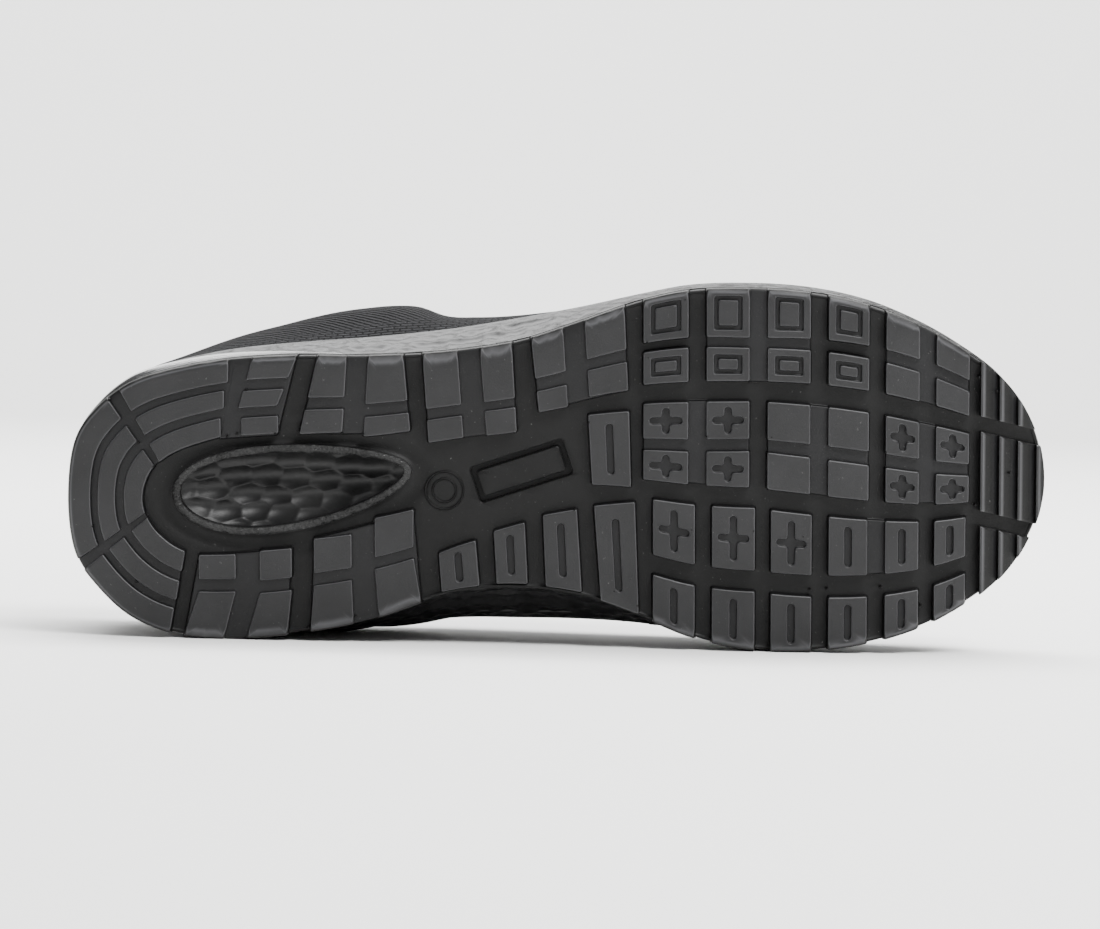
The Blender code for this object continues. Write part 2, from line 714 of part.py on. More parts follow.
def make_upper(parts):
    """The upper: one hollow wall, open at the collar and throat and underneath."""
    outside = [upper_ring(k / (UPPER_ROWS - 1), False) for k in range(UPPER_ROWS)]
    inside = [upper_ring(k / (LINING_ROWS - 1), True) for k in range(LINING_ROWS)]
    for rings in (outside, inside):
        foot = rings[0].copy()
        foot[:, 2] -= RIM_DEPTH
        rings.insert(0, foot)
    lip = (outside[-1] + inside[-1]) / 2
    middle = lip[:, :2].mean(axis=0)
    toward = middle - lip[:, :2]
    toward /= np.linalg.norm(toward, axis=1, keepdims=True)
    lip[:, :2] += toward * LIP_ROUND
    rings = outside + [lip] + inside[::-1]
    return mesh_object("upper", np.vstack(rings), lathe_faces(len(rings), RING, closed=True), parts)


def make_insole(parts):
    """The insole: a flat sheet that fills the foot of the upper."""
    plan = foot_ring(WALL + SEAM_GAP)
    low = floor_height(plan[:, 0]) + SEAM_GAP
    crown = plan + inward(plan) * INSOLE_THICKNESS / 4
    return slab("insole", [lift(plan, low), lift(crown, low + INSOLE_THICKNESS)], parts)


def throat_height(x):
    """Height of the throat's edge along the shoe; ahead of the throat it stays level."""
    order = np.argsort(UPPER["mouth"])
    front = UPPER["mouth"][order] > 0.38
    return COLLAR_HEIGHT * smooth(UPPER["mouth"][order][front], UPPER["top"][order][front], x / LENGTH)


def make_tongue(parts):
    """The tongue: a padded leaf that lies under the throat and stands free at the collar."""
    across = np.linspace(-1, 1, 7)
    rings = []
    for along, half in zip(*TONGUE.values()):
        y = across * half * BALL_WIDTH + MOUTH_SHIFT * BALL_WIDTH
        free = max(TONGUE_BEND - along, 0)
        top = throat_height(along * LENGTH) - WALL - 3 * SEAM_GAP
        top = top + free * LENGTH * TONGUE_SLOPE + TONGUE_CURL * (free / TONGUE_FREE) ** 2
        top = top - TONGUE_SAG * across ** 2
        thick = TONGUE_THICKNESS * (1 - TONGUE_THINNING * across ** 2)
        upper_side = np.column_stack([np.full(7, along * LENGTH), y, top])
        lower_side = np.column_stack([np.full(7, along * LENGTH), y, top - thick])
        rings.append(np.vstack([upper_side, lower_side[::-1]]))
    count = len(rings[0])
    faces = lathe_faces(len(rings), count)
    faces += [tuple(range(count - 1, -1, -1))]
    faces += [tuple(range((len(rings) - 1) * count, len(rings) * count))]
    return mesh_object("tongue", np.vstack(rings), faces, parts)


def over_upper(skin, x, y):
    """Height of the upper's skin at a plan point, or of the throat's edge where the throat is open."""
    edge_height = float(throat_height(x))
    hit = skin.ray_cast(Vector((x, y, 2 * COLLAR_HEIGHT)), Vector((0, 0, -1)))[0]
    return edge_height if hit is None else max(edge_height, hit.z)


def lace_strip(skin, start, end, points, faces):
    """One flat strip of lace between two eyelets, laid over the throat with a slight bow."""
    first = len(points)
    stations = np.linspace(0, 1, 5)
    reach = np.linalg.norm(end - start)
    along = (end - start) / reach
    beside = np.array([-along[1], along[0]]) * LACE_WIDTH / 2
    for share in stations:
        middle = start + (end - start) * share
        bow = LACE_BOW * (1 - (2 * share - 1) ** 2)
        for offset, height in ((-1, 0), (1, 0), (1, LACE_THICKNESS), (-1, LACE_THICKNESS)):
            x, y = middle + beside * offset
            points.append((x, y, over_upper(skin, x, y) + 2 * SEAM_GAP + bow + height))
    faces += [tuple(first + k for k in face) for face in lathe_faces(len(stations), 4)]
    faces.append(tuple(first + k for k in (3, 2, 1, 0)))
    faces.append(tuple(first + 4 * (len(stations) - 1) + k for k in range(4)))


def eyelet(row, side):
    """Plan point of an eyelet."""
    order = np.argsort(UPPER["mouth"])
    half = smooth(UPPER["mouth"][order], UPPER["half"][order], EYELETS[row])
    across = side * (half + EYELET_OUT) + MOUTH_SHIFT
    return np.array([EYELETS[row] * LENGTH, across * BALL_WIDTH])


def make_lace(upper, parts, cutters):
    """The lace: one straight bar at the front, then crossings up to the top eyelets, all joined."""
    skin = BVHTree.FromPolygons([v.co for v in upper.data.vertices], [p.vertices for p in upper.data.polygons])
    strips = []
    for name, side in (("lace", 1), ("lace_other", -1)):
        points, faces = [], []
        for row in range(len(EYELETS) - 1):
            lace_strip(skin, eyelet(row, -side), eyelet(row + 1, side), points, faces)
        strips.append(mesh_object(name, points, faces, parts if side == 1 else cutters))
    points, faces = [], []
    lace_strip(skin, eyelet(0, -1), eyelet(0, 1), points, faces)
    bar = mesh_object("lace_bar", points, faces, cutters)
    boolean(strips[0], "crossings", "UNION", strips[1])
    boolean(strips[0], "front bar", "UNION", bar)
    return strips[0]


def linear(code):
    """Linear colour of an sRGB hex value."""
    parts = [int(code[k:k + 2], 16) / 255 for k in (1, 3, 5)]
    return [c / 12.92 if c <= 0.04045 else ((c + 0.055) / 1.055) ** 2.4 for c in parts] + [1]


def finish(item, name, code, roughness):
    """A plain material of one colour and roughness."""
    material = bpy.data.materials.new(name)
    material.use_nodes = True
    shader = material.node_tree.nodes["Principled BSDF"]
    shader.inputs["Base Color"].default_value = linear(code)
    shader.inputs["Roughness"].default_value = roughness
    shader.inputs["Metallic"].default_value = 0.0
    item.data.materials.append(material)


def resting_turn(items):
    """Rotation that lays the shoe on its inner side, on the face of its hull below its middle."""
    bpy.context.view_layer.update()
    graph = bpy.context.evaluated_depsgraph_get()
    hull = bmesh.new()
    for item in items:
        for vertex in item.evaluated_get(graph).data.vertices:
            hull.verts.new(vertex.co)
    made = bmesh.ops.convex_hull(hull, input=hull.verts)
    spare = {thing for key in ("geom_interior", "geom_unused") for thing in made[key]}
    bmesh.ops.delete(hull, geom=[v for v in spare if isinstance(v, bmesh.types.BMVert)], context="VERTS")
    points = np.array([v.co for v in hull.verts])
    middle = Vector((points.min(axis=0) + points.max(axis=0)) / 2)
    middle.x = BALANCE[0] * LENGTH
    middle.z = BALANCE[1] * COLLAR_HEIGHT
    hull.normal_update()
    best = None
    for face in hull.faces:
        if face.normal.y > 0.9:
            reach = (face.verts[0].co - middle).dot(face.normal) / face.normal.y
            hit = middle + Vector((0, reach, 0))
            if bmesh.geometry.intersect_face_point(face, hit):
                best = face.normal.copy()
    hull.free()
    down = best.rotation_difference(Vector((0, 0, -1))).to_matrix()
    ahead = down @ Vector((1, 0, 0))
    heading = math.atan2(ahead.y, ahead.x)
    return Matrix.Rotation(-heading, 3, "Z") @ down


def main():
    for item in list(bpy.data.objects):
        bpy.data.objects.remove(item, do_unlink=True)
    scene = bpy.context.scene
    parts = bpy.data.collections.new("safety_sneaker")
    cutters = bpy.data.collections.new("cutters")
    scene.collection.children.link(parts)
    scene.collection.children.link(cutters)

    outsole = make_outsole(parts, cutters)
    midsole = make_midsole(parts, cutters)
    upper = make_upper(parts)
    insole = make_insole(parts)
    tongue = make_tongue(parts)
    lace = make_lace(upper, parts, cutters)
    finish(outsole, "outsole_rubber", "#2b2c2e", 0.45)
    finish(midsole, "midsole_foam", "#1d1e20", 0.6)
    finish(upper, "upper_knit", "#17181a", 0.85)
    finish(insole, "insole_foam", "#24262a", 0.9)
    finish(tongue, "tongue_knit", "#1a1b1d", 0.85)
    finish(lace, "lace_polyester", "#101113", 0.7)

    items = [outsole, midsole, upper, insole, tongue, lace]
    turn = resting_turn(items)
    graph = bpy.context.evaluated_depsgraph_get()
    corners = []
    for item in items:
        corners += [turn @ vertex.co for vertex in item.evaluated_get(graph).data.vertices]
    corners = np.array(corners)
    low = corners.min(axis=0)
    high = corners.max(axis=0)
    shift = Vector((-(low[0] + high[0]) / 2, -(low[1] + high[1]) / 2, -low[2]))
    lying = bpy.data.objects.new("lying_shoe", None)
    parts.objects.link(lying)
    lying.matrix_world = Matrix.Translation(shift) @ turn.to_4x4()
    bpy.context.view_layer.update()
    for item in list(parts.objects) + list(cutters.objects):
        if item is not lying:
            item.parent = lying


main()
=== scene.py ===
# %% [markdown]
# # A safety sneaker, seen from its sole
# The shoe lies on its inner side, so the camera looks straight at the tread.  The tread is moulded rubber:
# rows of lugs on a thin base.  Each piece below is a surface worked out with numpy, and takes the place
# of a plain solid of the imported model, which is loaded first and never moved.

# %% Load the frame
import json
import math

import bpy
import numpy as np
from mathutils import Matrix, Vector
from mathutils.bvhtree import BVHTree


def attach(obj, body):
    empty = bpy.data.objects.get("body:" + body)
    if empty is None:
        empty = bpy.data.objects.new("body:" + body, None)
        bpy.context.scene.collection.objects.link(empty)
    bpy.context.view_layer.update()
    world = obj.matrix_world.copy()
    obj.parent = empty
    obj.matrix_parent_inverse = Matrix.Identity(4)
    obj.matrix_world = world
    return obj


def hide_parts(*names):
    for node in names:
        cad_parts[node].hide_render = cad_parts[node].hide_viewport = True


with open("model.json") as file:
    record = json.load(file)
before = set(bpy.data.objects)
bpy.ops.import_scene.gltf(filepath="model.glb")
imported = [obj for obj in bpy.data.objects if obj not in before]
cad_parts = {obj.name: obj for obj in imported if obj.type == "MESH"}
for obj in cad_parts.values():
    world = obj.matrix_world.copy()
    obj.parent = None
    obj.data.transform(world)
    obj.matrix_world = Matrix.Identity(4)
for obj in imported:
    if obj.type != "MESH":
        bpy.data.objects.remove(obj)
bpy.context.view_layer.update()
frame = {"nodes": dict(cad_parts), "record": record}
print("nodes:", sorted(frame["nodes"]))

# %% [markdown]
# ## The shoe's own frame
# A shoemaker measures along the sole, across it, and up from the tread.  The record's two rest mounts are
# points of the tread whose places in that frame are known, and their axis is the way the tread faces.
# Together they give the turn and the shift from the shoe's frame to the world's.

# %% Turn and shift from the shoe to the world
MM = 0.001
HEEL_REST = np.array([82.11, -35.03, 0.0]) * MM
FORE_REST = np.array([201.0, 9.0, 0.0]) * MM


def triad(ahead, down):
    """Three unit axes as columns: down, ahead without its part along down, and what is square to both."""
    down = down / np.linalg.norm(down)
    ahead = ahead - down * (ahead @ down)
    ahead = ahead / np.linalg.norm(ahead)
    return np.stack([ahead, np.cross(down, ahead), down], axis=1)


mounts = {mount["name"]: mount for mount in frame["record"]["mounts"]}
heel_rest = np.array(mounts["heel_rest"]["pos_m"])
fore_rest = np.array(mounts["forefoot_rest"]["pos_m"])
here = triad(FORE_REST - HEEL_REST, np.array([0.0, 0.0, -1.0]))
there = triad(fore_rest - heel_rest, np.array(mounts["heel_rest"]["axis"]))
TURN = there @ here.T
SHIFT = heel_rest - TURN @ HEEL_REST


def to_world(points):
    """World places of points given in the shoe's frame."""
    return points @ TURN.T + SHIFT


print("shoe's origin in the world (mm):", (SHIFT / MM).round(2))

# %% [markdown]
# ## Sizes
# These are the model's own sizes and tables, so every piece here lies where its solid lies.  A table's
# rows are read by a smooth curve, and its numbers are shares of the length, the ball's width or a height.

# %% Sizes of the sole
LENGTH = 0.303
BALL_WIDTH = 0.112
HEEL_SPRING = 0.004
TOE_SPRING = 0.018
HEEL_END = 0.1
BALL_END = 0.677
TOE_END = 0.99
LUG_DEPTH = 0.0035
BASE_THICKNESS = 0.0025
RIM_HEIGHT = 0.031
RIM_DEPTH = 0.005
RIM_WALL = 0.0025
BAND_STEP = 0.0012
SEAM_GAP = 0.0003
WINDOW_LENGTH = 0.0688
WINDOW_WIDTH = 0.022
HOLLOW_DEPTH = 0.006
SLOT_WIDTH = 0.0026
FLARE_EASE = 0.25


def table(columns, rows):
    """A table whose named columns are arrays."""
    return dict(zip(columns.split(), np.array(rows, float).T))


SOLE = table("along lateral medial lateral_flare medial_flare rim", [
    (0.000, 0.030, 0.030, 0.004, 0.006, 1.00),
    (0.005, -0.107, 0.157, 0.004, 0.006, 1.00),
    (0.030, -0.223, 0.270, 0.004, 0.008, 1.00),
    (0.066, -0.296, 0.355, 0.004, 0.010, 1.00),
    (0.116, -0.338, 0.404, 0.005, 0.012, 0.99),
    (0.165, -0.360, 0.414, 0.009, 0.014, 0.98),
    (0.231, -0.371, 0.401, 0.017, 0.028, 0.96),
    (0.314, -0.371, 0.358, 0.034, 0.055, 0.93),
    (0.396, -0.385, 0.288, 0.044, 0.098, 0.90),
    (0.462, -0.413, 0.277, 0.045, 0.108, 0.88),
    (0.525, -0.467, 0.300, 0.023, 0.088, 0.86),
    (0.584, -0.521, 0.355, 0.004, 0.044, 0.84),
    (0.630, -0.548, 0.406, 0.001, 0.010, 0.83),
    (0.693, -0.554, 0.445, 0.002, 0.004, 0.83),
    (0.756, -0.542, 0.450, 0.003, 0.004, 0.85),
    (0.815, -0.507, 0.433, 0.004, 0.004, 0.90),
    (0.868, -0.449, 0.394, 0.004, 0.004, 0.97),
    (0.921, -0.366, 0.323, 0.004, 0.004, 1.06),
    (0.957, -0.290, 0.251, 0.004, 0.004, 1.12),
    (0.987, -0.170, 0.138, 0.004, 0.004, 1.17),
    (1.000, -0.010, -0.010, 0.004, 0.004, 1.19),
])

# %% Curves through the tables


def smooth(stations, values, at):
    """A cubic through the rows: each slope is the mean slope of the rows on both sides."""
    slope = np.gradient(values, stations)
    at = np.clip(at, stations[0], stations[-1])
    row = np.clip(np.searchsorted(stations, at, side="right") - 1, 0, len(stations) - 2)
    step = stations[row + 1] - stations[row]
    t = (at - stations[row]) / step
    start = values[row] * (1 + 2 * t) * (1 - t) ** 2 + slope[row] * step * t * (1 - t) ** 2
    end = values[row + 1] * t * t * (3 - 2 * t) + slope[row + 1] * step * t * t * (t - 1)
    return start + end


def turn_of(along):
    """Angle of a place along the sole, 0 at the heel and pi at the toe, so both ends come out round."""
    return np.arccos(np.clip(1 - 2 * np.asarray(along, float), -1, 1))


def read(source, column, turn):
    """A table's column at these turns."""
    return smooth(turn_of(source["along"]), source[column], np.abs(turn))


def by_side(source, outer, inner, turn):
    """The outer column where the turn is negative, the inner one elsewhere."""
    return np.where(turn < 0, read(source, outer, turn), read(source, inner, turn))


def edge(turn, flare=0.0):
    """Plan points of the tread's edge: half a cosine along, the table across, plus the midsole's flare."""
    along = (1 - np.cos(turn)) / 2
    side = np.where(turn < 0, -1.0, 1.0)
    out = flare * by_side(SOLE, "lateral_flare", "medial_flare", turn)
    across = by_side(SOLE, "lateral", "medial", turn) + side * out * np.abs(np.sin(turn)) ** FLARE_EASE
    return np.stack([along * LENGTH, across * BALL_WIDTH], axis=-1)


def even_angles(count):
    """Angles in even steps, once round."""
    return 2 * math.pi * np.arange(count) / count


def unit_circle(count):
    """Plan points of a circle with radius 1."""
    angle = even_angles(count)
    return np.stack([np.cos(angle), np.sin(angle)], axis=-1)


def ring_turns(count):
    """Turns of a ring from the heel along the outer side to the toe, and back."""
    step = even_angles(count)
    return np.where(step <= math.pi, -step, 2 * math.pi - step)


def inward(ring):
    """Unit normals that point into a closed plan ring: its chord turned a quarter to the left."""
    tangent = np.roll(ring, -1, axis=0) - np.roll(ring, 1, axis=0)
    tangent = tangent / np.linalg.norm(tangent, axis=1, keepdims=True)
    return np.stack([-tangent[:, 1], tangent[:, 0]], axis=1)


def tread_height(x):
    """Height of the tread: flat, with two parabolas that lift the heel and the toe."""
    heel_length = HEEL_END * LENGTH
    ball_end = BALL_END * LENGTH
    heel = HEEL_SPRING * np.clip((heel_length - x) / heel_length, 0, None) ** 2
    toe = TOE_SPRING * np.clip((x - ball_end) / (TOE_END * LENGTH - ball_end), 0, None) ** 2
    return heel + toe


def place(along, share):
    """Plan points at places along the sole and shares across it, 0 at the outer edge and 1 at the inner."""
    turn = turn_of(along)
    outer = read(SOLE, "lateral", turn)
    inner = read(SOLE, "medial", turn)
    across = (outer + (inner - outer) * share) * BALL_WIDTH
    return np.stack(np.broadcast_arrays(along * LENGTH, across), axis=-1)


def raise_plan(plan, depth):
    """Plan points with their heights: so far above the tread's curve."""
    height = tread_height(plan[..., 0]) + depth
    return np.concatenate([plan, height[..., None]], axis=-1)


print("edge at the ball (mm):", (place(0.693, np.array([0.0, 1.0])) / MM).round(1).tolist())

# %% [markdown]
# ## Meshes from grids
# A surface with two parameters is a grid of points, and its faces are the grid's squares.  A ring closes
# on itself, and a small flat cap closes its first and last rows, so each piece is one closed skin.

# %% Grids, caps and pieces
# Depth under the tread's faces, in metres, where the relief attribute reaches 0.
RELIEF_DEPTH = 0.0052


def grid_faces(rows, count, closed_rows=False, closed_ring=True):
    """Corner numbers of a grid's squares, anticlockwise where rows climb and rings turn to the left."""
    row = np.arange(rows if closed_rows else rows - 1)[:, None]
    k = np.arange(count if closed_ring else count - 1)[None, :]
    after = (row + 1) % rows
    right = (k + 1) % count
    corners = [row * count + k, row * count + right, after * count + right, after * count + k]
    return np.stack(np.broadcast_arrays(*corners), axis=-1).reshape(-1, 4)


def cap_faces(first, count):
    """Strips that close a ring which starts at one end: a triangle, squares, and a triangle."""
    half = count // 2
    k = np.arange(1, half - 1)
    strips = np.stack([k, k + 1, count - k - 1, count - k], axis=1) + first
    ends = [[first, first + 1, first + count - 1], [first + half - 1, first + half, first + half + 1]]
    return strips.tolist() + ends


def tube_faces(rows, count):
    """Squares of a tube of rings, and the strips that close its first and its last ring."""
    first = [face[::-1] for face in cap_faces(0, count)]
    return grid_faces(rows, count).tolist() + first + cap_faces((rows - 1) * count, count)


def volume(points, faces):
    """Signed volume: a sum of the thin pyramids from the origin to each face."""
    total = 0.0
    for size in (3, 4):
        chosen = np.array([face for face in faces if len(face) == size], int)
        for k in range(1, size - 1):
            if len(chosen):
                a, b, c = (points[chosen[:, j]] for j in (0, k, k + 1))
                total += np.einsum("ij,ij->", a, np.cross(b, c)) / 6
    return total


def make_piece(name, points, faces, material, slot, node, sharp=40.0, uv=None, relief=None):
    """Puts points and faces into a mesh at its place in the world, hangs it under the root body and hides the
    solid it stands for.

    Edges that bend by more than sharp degrees stay hard.  uv holds each face's corners on the map, in
    metres.  relief is one value a point; where none is given, the tread's pieces get 1 on their faces,
    falling to 0 with the depth under them.
    """
    size = volume(points, faces)
    if size < 0:
        faces = [face[::-1] for face in faces]
        uv = None if uv is None else [corner[::-1] for corner in uv]
    mesh = bpy.data.meshes.new(name)
    mesh.from_pydata(to_world(points).tolist(), [], faces)
    mesh.shade_smooth()
    mesh.set_sharp_from_angle(angle=math.radians(sharp))
    mesh.materials.append(material)
    if uv is not None:
        layer = mesh.uv_layers.new(name="surface")
        layer.data.foreach_set("uv", np.concatenate(uv).astype(np.float32).ravel())
    if node == "outsole" and relief is None:
        relief = 1 - (points[:, 2] - tread_height(points[:, 0])) / RELIEF_DEPTH
    if relief is not None:
        layer = mesh.attributes.new("relief", "FLOAT", "POINT")
        layer.data.foreach_set("value", np.clip(relief, 0, 1).astype(np.float32))
    item = bpy.data.objects.new(name, mesh)
    bpy.context.scene.collection.objects.link(item)
    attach(item, "root")
    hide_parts(node)
    triangles = sum(len(face) - 2 for face in faces)
    print(f"{name}: {triangles} triangles, {abs(size) * 1e6:.1f} cm3")
    return item


# %% [markdown]
# ## Finishes
# The tread is black nitrile rubber, pressed in a blasted steel mould, so it is satin, with a grain finer
# than a tenth of a millimetre that is drawn coarser to show.  The midsole is moulded foam with a tight
# skin.  The upper is a thick polyester knit: slanting rows 1.5 mm apart, broken into short stitches.
# One function adds a node with its settings and links, and each finish is a short list of nodes.

# %% Nodes and colours


def linear(code):
    """Linear colour of an sRGB hex value."""
    parts = [int(code[k:k + 2], 16) / 255 for k in (1, 3, 5)]
    return [c / 12.92 if c <= 0.04045 else ((c + 0.055) / 1.055) ** 2.4 for c in parts] + [1.0]


def add(tree, kind, values=None, links=None, **settings):
    """A node with its properties, its socket values and its incoming links."""
    made = tree.nodes.new(kind)
    for key, value in settings.items():
        setattr(made, key, value)
    for key, value in (values or {}).items():
        made.inputs[key].default_value = value
    for key, source in (links or {}).items():
        tree.links.new(source, made.inputs[key])
    return made


def cloudy(tree, coords, size, detail, rough=0.5):
    """A noise pattern with blots of about one size, in metres, as values from 0 to 1."""
    values = {"Scale": 1 / size, "Detail": detail, "Roughness": rough}
    return add(tree, "ShaderNodeTexNoise", values, {"Vector": coords}).outputs["Fac"]


def ranged(tree, value, low, high, start=0.0, end=1.0):
    """A value's stretch from start to end carried over to low and high, and held level beyond it."""
    values = {"From Min": start, "From Max": end, "To Min": low, "To Max": high}
    return add(tree, "ShaderNodeMapRange", values, {"Value": value}).outputs["Result"]


def rotated(tree, uv, angle):
    """The map turned by an angle."""
    return add(tree, "ShaderNodeMapping", {"Rotation": (0, 0, angle)}, {"Vector": uv}).outputs["Vector"]


def bumped(tree, shader, pattern, depth):
    """Tilts the shader's normals as though the pattern stood so many metres deep."""
    bump = add(tree, "ShaderNodeBump", {"Strength": 1.0, "Distance": depth}, {"Height": pattern})
    tree.links.new(bump.outputs["Normal"], shader.inputs["Normal"])


def start_finish(name, code, **sockets):
    """A new material with its principled shader's plain sockets set."""
    material = bpy.data.materials.new(name)
    material.use_nodes = True
    tree = material.node_tree
    shader = tree.nodes["Principled BSDF"]
    shader.inputs["Base Color"].default_value = linear(code)
    for key, value in sockets.items():
        shader.inputs[key.replace("_", " ")].default_value = value
    return material, tree, shader


# Every moulded finish has the same soft clouds and specks of dust, with sizes in metres.  Specks are drawn
# a little larger than real dust, or a pixel would swallow them.
CLOUD_SIZE = 0.018
CLOUD_SHADES = (0.72, 1.12)
SPECK_SIZE = 0.0011
DUST_FROM = 0.66
DUST_FULL = 0.78
DUST_COLOUR = "#8a8a88"
SHINE_FROM = 0.6


def moulded(name, stops, grain, roughness, spread, height, by="clouds", gloss=0.3,
            low_gloss=0.3, dust=0.0):
    """Moulded rubber or foam, coloured by a ramp over soft clouds or over the piece's relief attribute.

    The clouds then scale the colour a little, and dust is how much its specks cover.  The grain is a
    bump with grain as its size and height as its depth, in metres.  From 0 to 1 on the ramp the
    roughness grows by spread, and past SHINE_FROM the shine goes from low_gloss to gloss.
    """
    material, tree, shader = start_finish(name, stops[0][1], IOR=1.52)
    coords = add(tree, "ShaderNodeTexCoord").outputs["Object"]
    clouds = cloudy(tree, coords, CLOUD_SIZE, 5.0)
    spot = clouds
    if by == "relief":
        spot = add(tree, "ShaderNodeAttribute", attribute_name="relief").outputs["Fac"]
    ramp = add(tree, "ShaderNodeValToRGB", None, {"Fac": spot})
    elements = ramp.color_ramp.elements
    while len(elements) < len(stops):
        elements.new(0.5)
    for element, (place_on_ramp, code) in zip(elements, stops):
        element.position = place_on_ramp
        element.color = linear(code)
    shaded = ranged(tree, clouds, *CLOUD_SHADES, 0.3, 0.7)
    tinted = add(tree, "ShaderNodeVectorMath", None, {0: ramp.outputs["Color"], "Scale": shaded},
                 operation="SCALE")
    specks = cloudy(tree, coords, SPECK_SIZE, 4.0, 0.7)
    dusty = ranged(tree, specks, 0.0, dust, DUST_FROM, DUST_FULL)
    dusted = add(tree, "ShaderNodeMixRGB", {"Color2": linear(DUST_COLOUR)},
                 {"Fac": dusty, "Color1": tinted.outputs["Vector"]})
    tree.links.new(dusted.outputs["Color"], shader.inputs["Base Color"])
    rough = ranged(tree, spot, roughness, roughness + spread)
    tree.links.new(rough, shader.inputs["Roughness"])
    shine = ranged(tree, spot, low_gloss, gloss, SHINE_FROM)
    tree.links.new(shine, shader.inputs["Specular IOR Level"])
    bumped(tree, shader, cloudy(tree, coords, grain, 3.0, 0.6), height)
    return material


# Depth under the tread's faces in mm, and the colour there, which is painted shade and painted highlight.
# Side walls are painted black as shade, floors and pads a dark grey shade, faces keep the rubber's grey, and
# the rounded edge round each face has a painted highlight, the brightest colour.
TREAD_DEPTHS = (
    (5.00, "#010101"), (4.30, "#0b0b0b"), (3.20, "#0c0c0c"), (2.90, "#020202"), (2.12, "#020202"),
    (2.00, "#161617"), (1.82, "#161617"), (1.70, "#030303"), (1.50, "#111112"), (1.20, "#121213"),
    (1.05, "#030303"), (0.42, "#050505"), (0.28, "#323233"), (0.15, "#444446"), (0.05, "#232324"),
    (0.00, "#1c1c1d"),
)
TREAD_STOPS = tuple((1 - depth * 0.001 / RELIEF_DEPTH, code) for depth, code in TREAD_DEPTHS)
# Pressed rubber is satin: each lug reads by the painted highlight on its rim against the painted black shade
# of its walls.
tread_rubber = moulded("nitrile_rubber_moulded", TREAD_STOPS, 0.0006, 0.55, -0.11, 0.00007, "relief",
                       0.26, 0.19, dust=0.35)
# The bead is the same rubber with a coarse grain, so light catches it in many small points.
bead_rubber = moulded("nitrile_rubber_rough", ((0.40, "#020202"), (0.60, "#1d1d1d")), 0.0011, 0.45, 0.15,
                      0.0007, dust=1.0)
# Foam with a pressed skin is matt where it is hammered, and smooth and glossy on the band, whose paler grey
# is a painted highlight.
FOAM_STOPS = ((0.0, "#0c0c0d"), (0.9, "#343435"))
midsole_foam = moulded("eva_foam_skinned", FOAM_STOPS, 0.0007, 0.34, -0.26, 0.00005, "relief", 0.8, 0.26)
# The hollow's foam has a soft sheen, which draws the ridges between its dishes.
hollow_foam = moulded("eva_foam_hammered", ((0.3, "#0c0c0d"), (0.7, "#191919")), 0.0009, 0.42, 0.10, 0.00005,
                      gloss=0.45)
# Brushed polyester is dull all over, and a little paler than the black round it.
insole_cloth = moulded("insole_brushed_polyester", ((0.3, "#161719"), (0.7, "#202124")), 0.0009, 0.85, 0.10,
                       0.0002)
# The eyelets' thread is wound tight, so it shines a little more than the knit.
eyelet_thread = moulded("eyelet_polyester_thread", ((0.3, "#0c0c0d"), (0.7, "#1b1b1d")), 0.0008, 0.70, 0.10,
                        0.0002)

# A knit's gap between stitches is a share of a row.  The wave texture repeats 20 times in 2 pi at scale 1.
# A hatch that starts 9 m up never comes, because no piece is that long.
STITCH_GAP = 0.32
WAVE_LENGTH = 2 * math.pi / 20
HATCH_LEAN = 0.95
HATCH_FADE = 0.004
NO_HATCH = 9.0
FUZZ_SIZE = 0.0005


def knitted(name, code, highlight_code, stitch, length, slant, height, hatch_from=NO_HATCH):
    """Polyester knit on the piece's own UV map, which is in metres.

    Rows of stitches, one stitch apart and each a length long, lie like bricks, turned by the slant.
    Above hatch_from on v they give way to a fine slanting hatch, a wave across the rows, as where a
    knit's second needle bed shows.  The colour goes from code, painted shade in the gaps, to highlight_code,
    a painted highlight on the yarn.
    """
    material, tree, shader = start_finish(name, code, Roughness=0.9, Specular_IOR_Level=0.1)
    uv = add(tree, "ShaderNodeUVMap", uv_map="surface").outputs["UV"]
    bricks = {
        "Scale": 1 / stitch, "Mortar Size": STITCH_GAP, "Mortar Smooth": 1.0, "Brick Width": length / stitch,
        "Row Height": 1.0, "Color1": linear("#ffffff"), "Color2": linear("#cfcfcf"),
        "Mortar": linear("#000000"),
    }
    rows = add(tree, "ShaderNodeTexBrick", bricks, {"Vector": rotated(tree, uv, slant)})
    waves = {"Scale": WAVE_LENGTH / stitch, "Distortion": 1.2, "Detail": 1.0, "Detail Scale": 2.0}
    hatch = add(tree, "ShaderNodeTexWave", waves, {"Vector": rotated(tree, uv, slant - HATCH_LEAN)})
    climb = add(tree, "ShaderNodeSeparateXYZ", None, {"Vector": uv}).outputs["Y"]
    high = ranged(tree, climb, 0.0, 1.0, hatch_from - HATCH_FADE, hatch_from + HATCH_FADE)
    woven = add(tree, "ShaderNodeMixRGB", None, {"Fac": high, "Color1": rows.outputs["Color"],
                                                 "Color2": hatch.outputs["Color"]}).outputs["Color"]
    fuzz = cloudy(tree, uv, FUZZ_SIZE, 2.0)
    total = add(tree, "ShaderNodeMath", {1: 1.0}, {0: woven, 2: fuzz}, operation="MULTIPLY_ADD").outputs[0]
    tint = add(tree, "ShaderNodeMixRGB", {"Color1": linear(code), "Color2": linear(highlight_code)},
               {"Fac": woven})
    tree.links.new(tint.outputs["Color"], shader.inputs["Base Color"])
    bumped(tree, shader, total, height)
    return material


# The upper's knit is matt, with painted black shade in its gaps and a painted highlight on its yarn, and is
# drawn a little coarser than real.
upper_knit = knitted("polyester_knit_ribbed", "#010101", "#2e2e30", 0.0015, 0.0040, 0.12, 0.0005, 0.020)
# The tongue's knit is finer and flatter, and stays quiet under the lace; its gaps and yarn carry the same
# painted shade and highlight.
tongue_knit = knitted("polyester_knit_plain", "#060607", "#222224", 0.0011, 0.0022, 0.0, 0.0004)
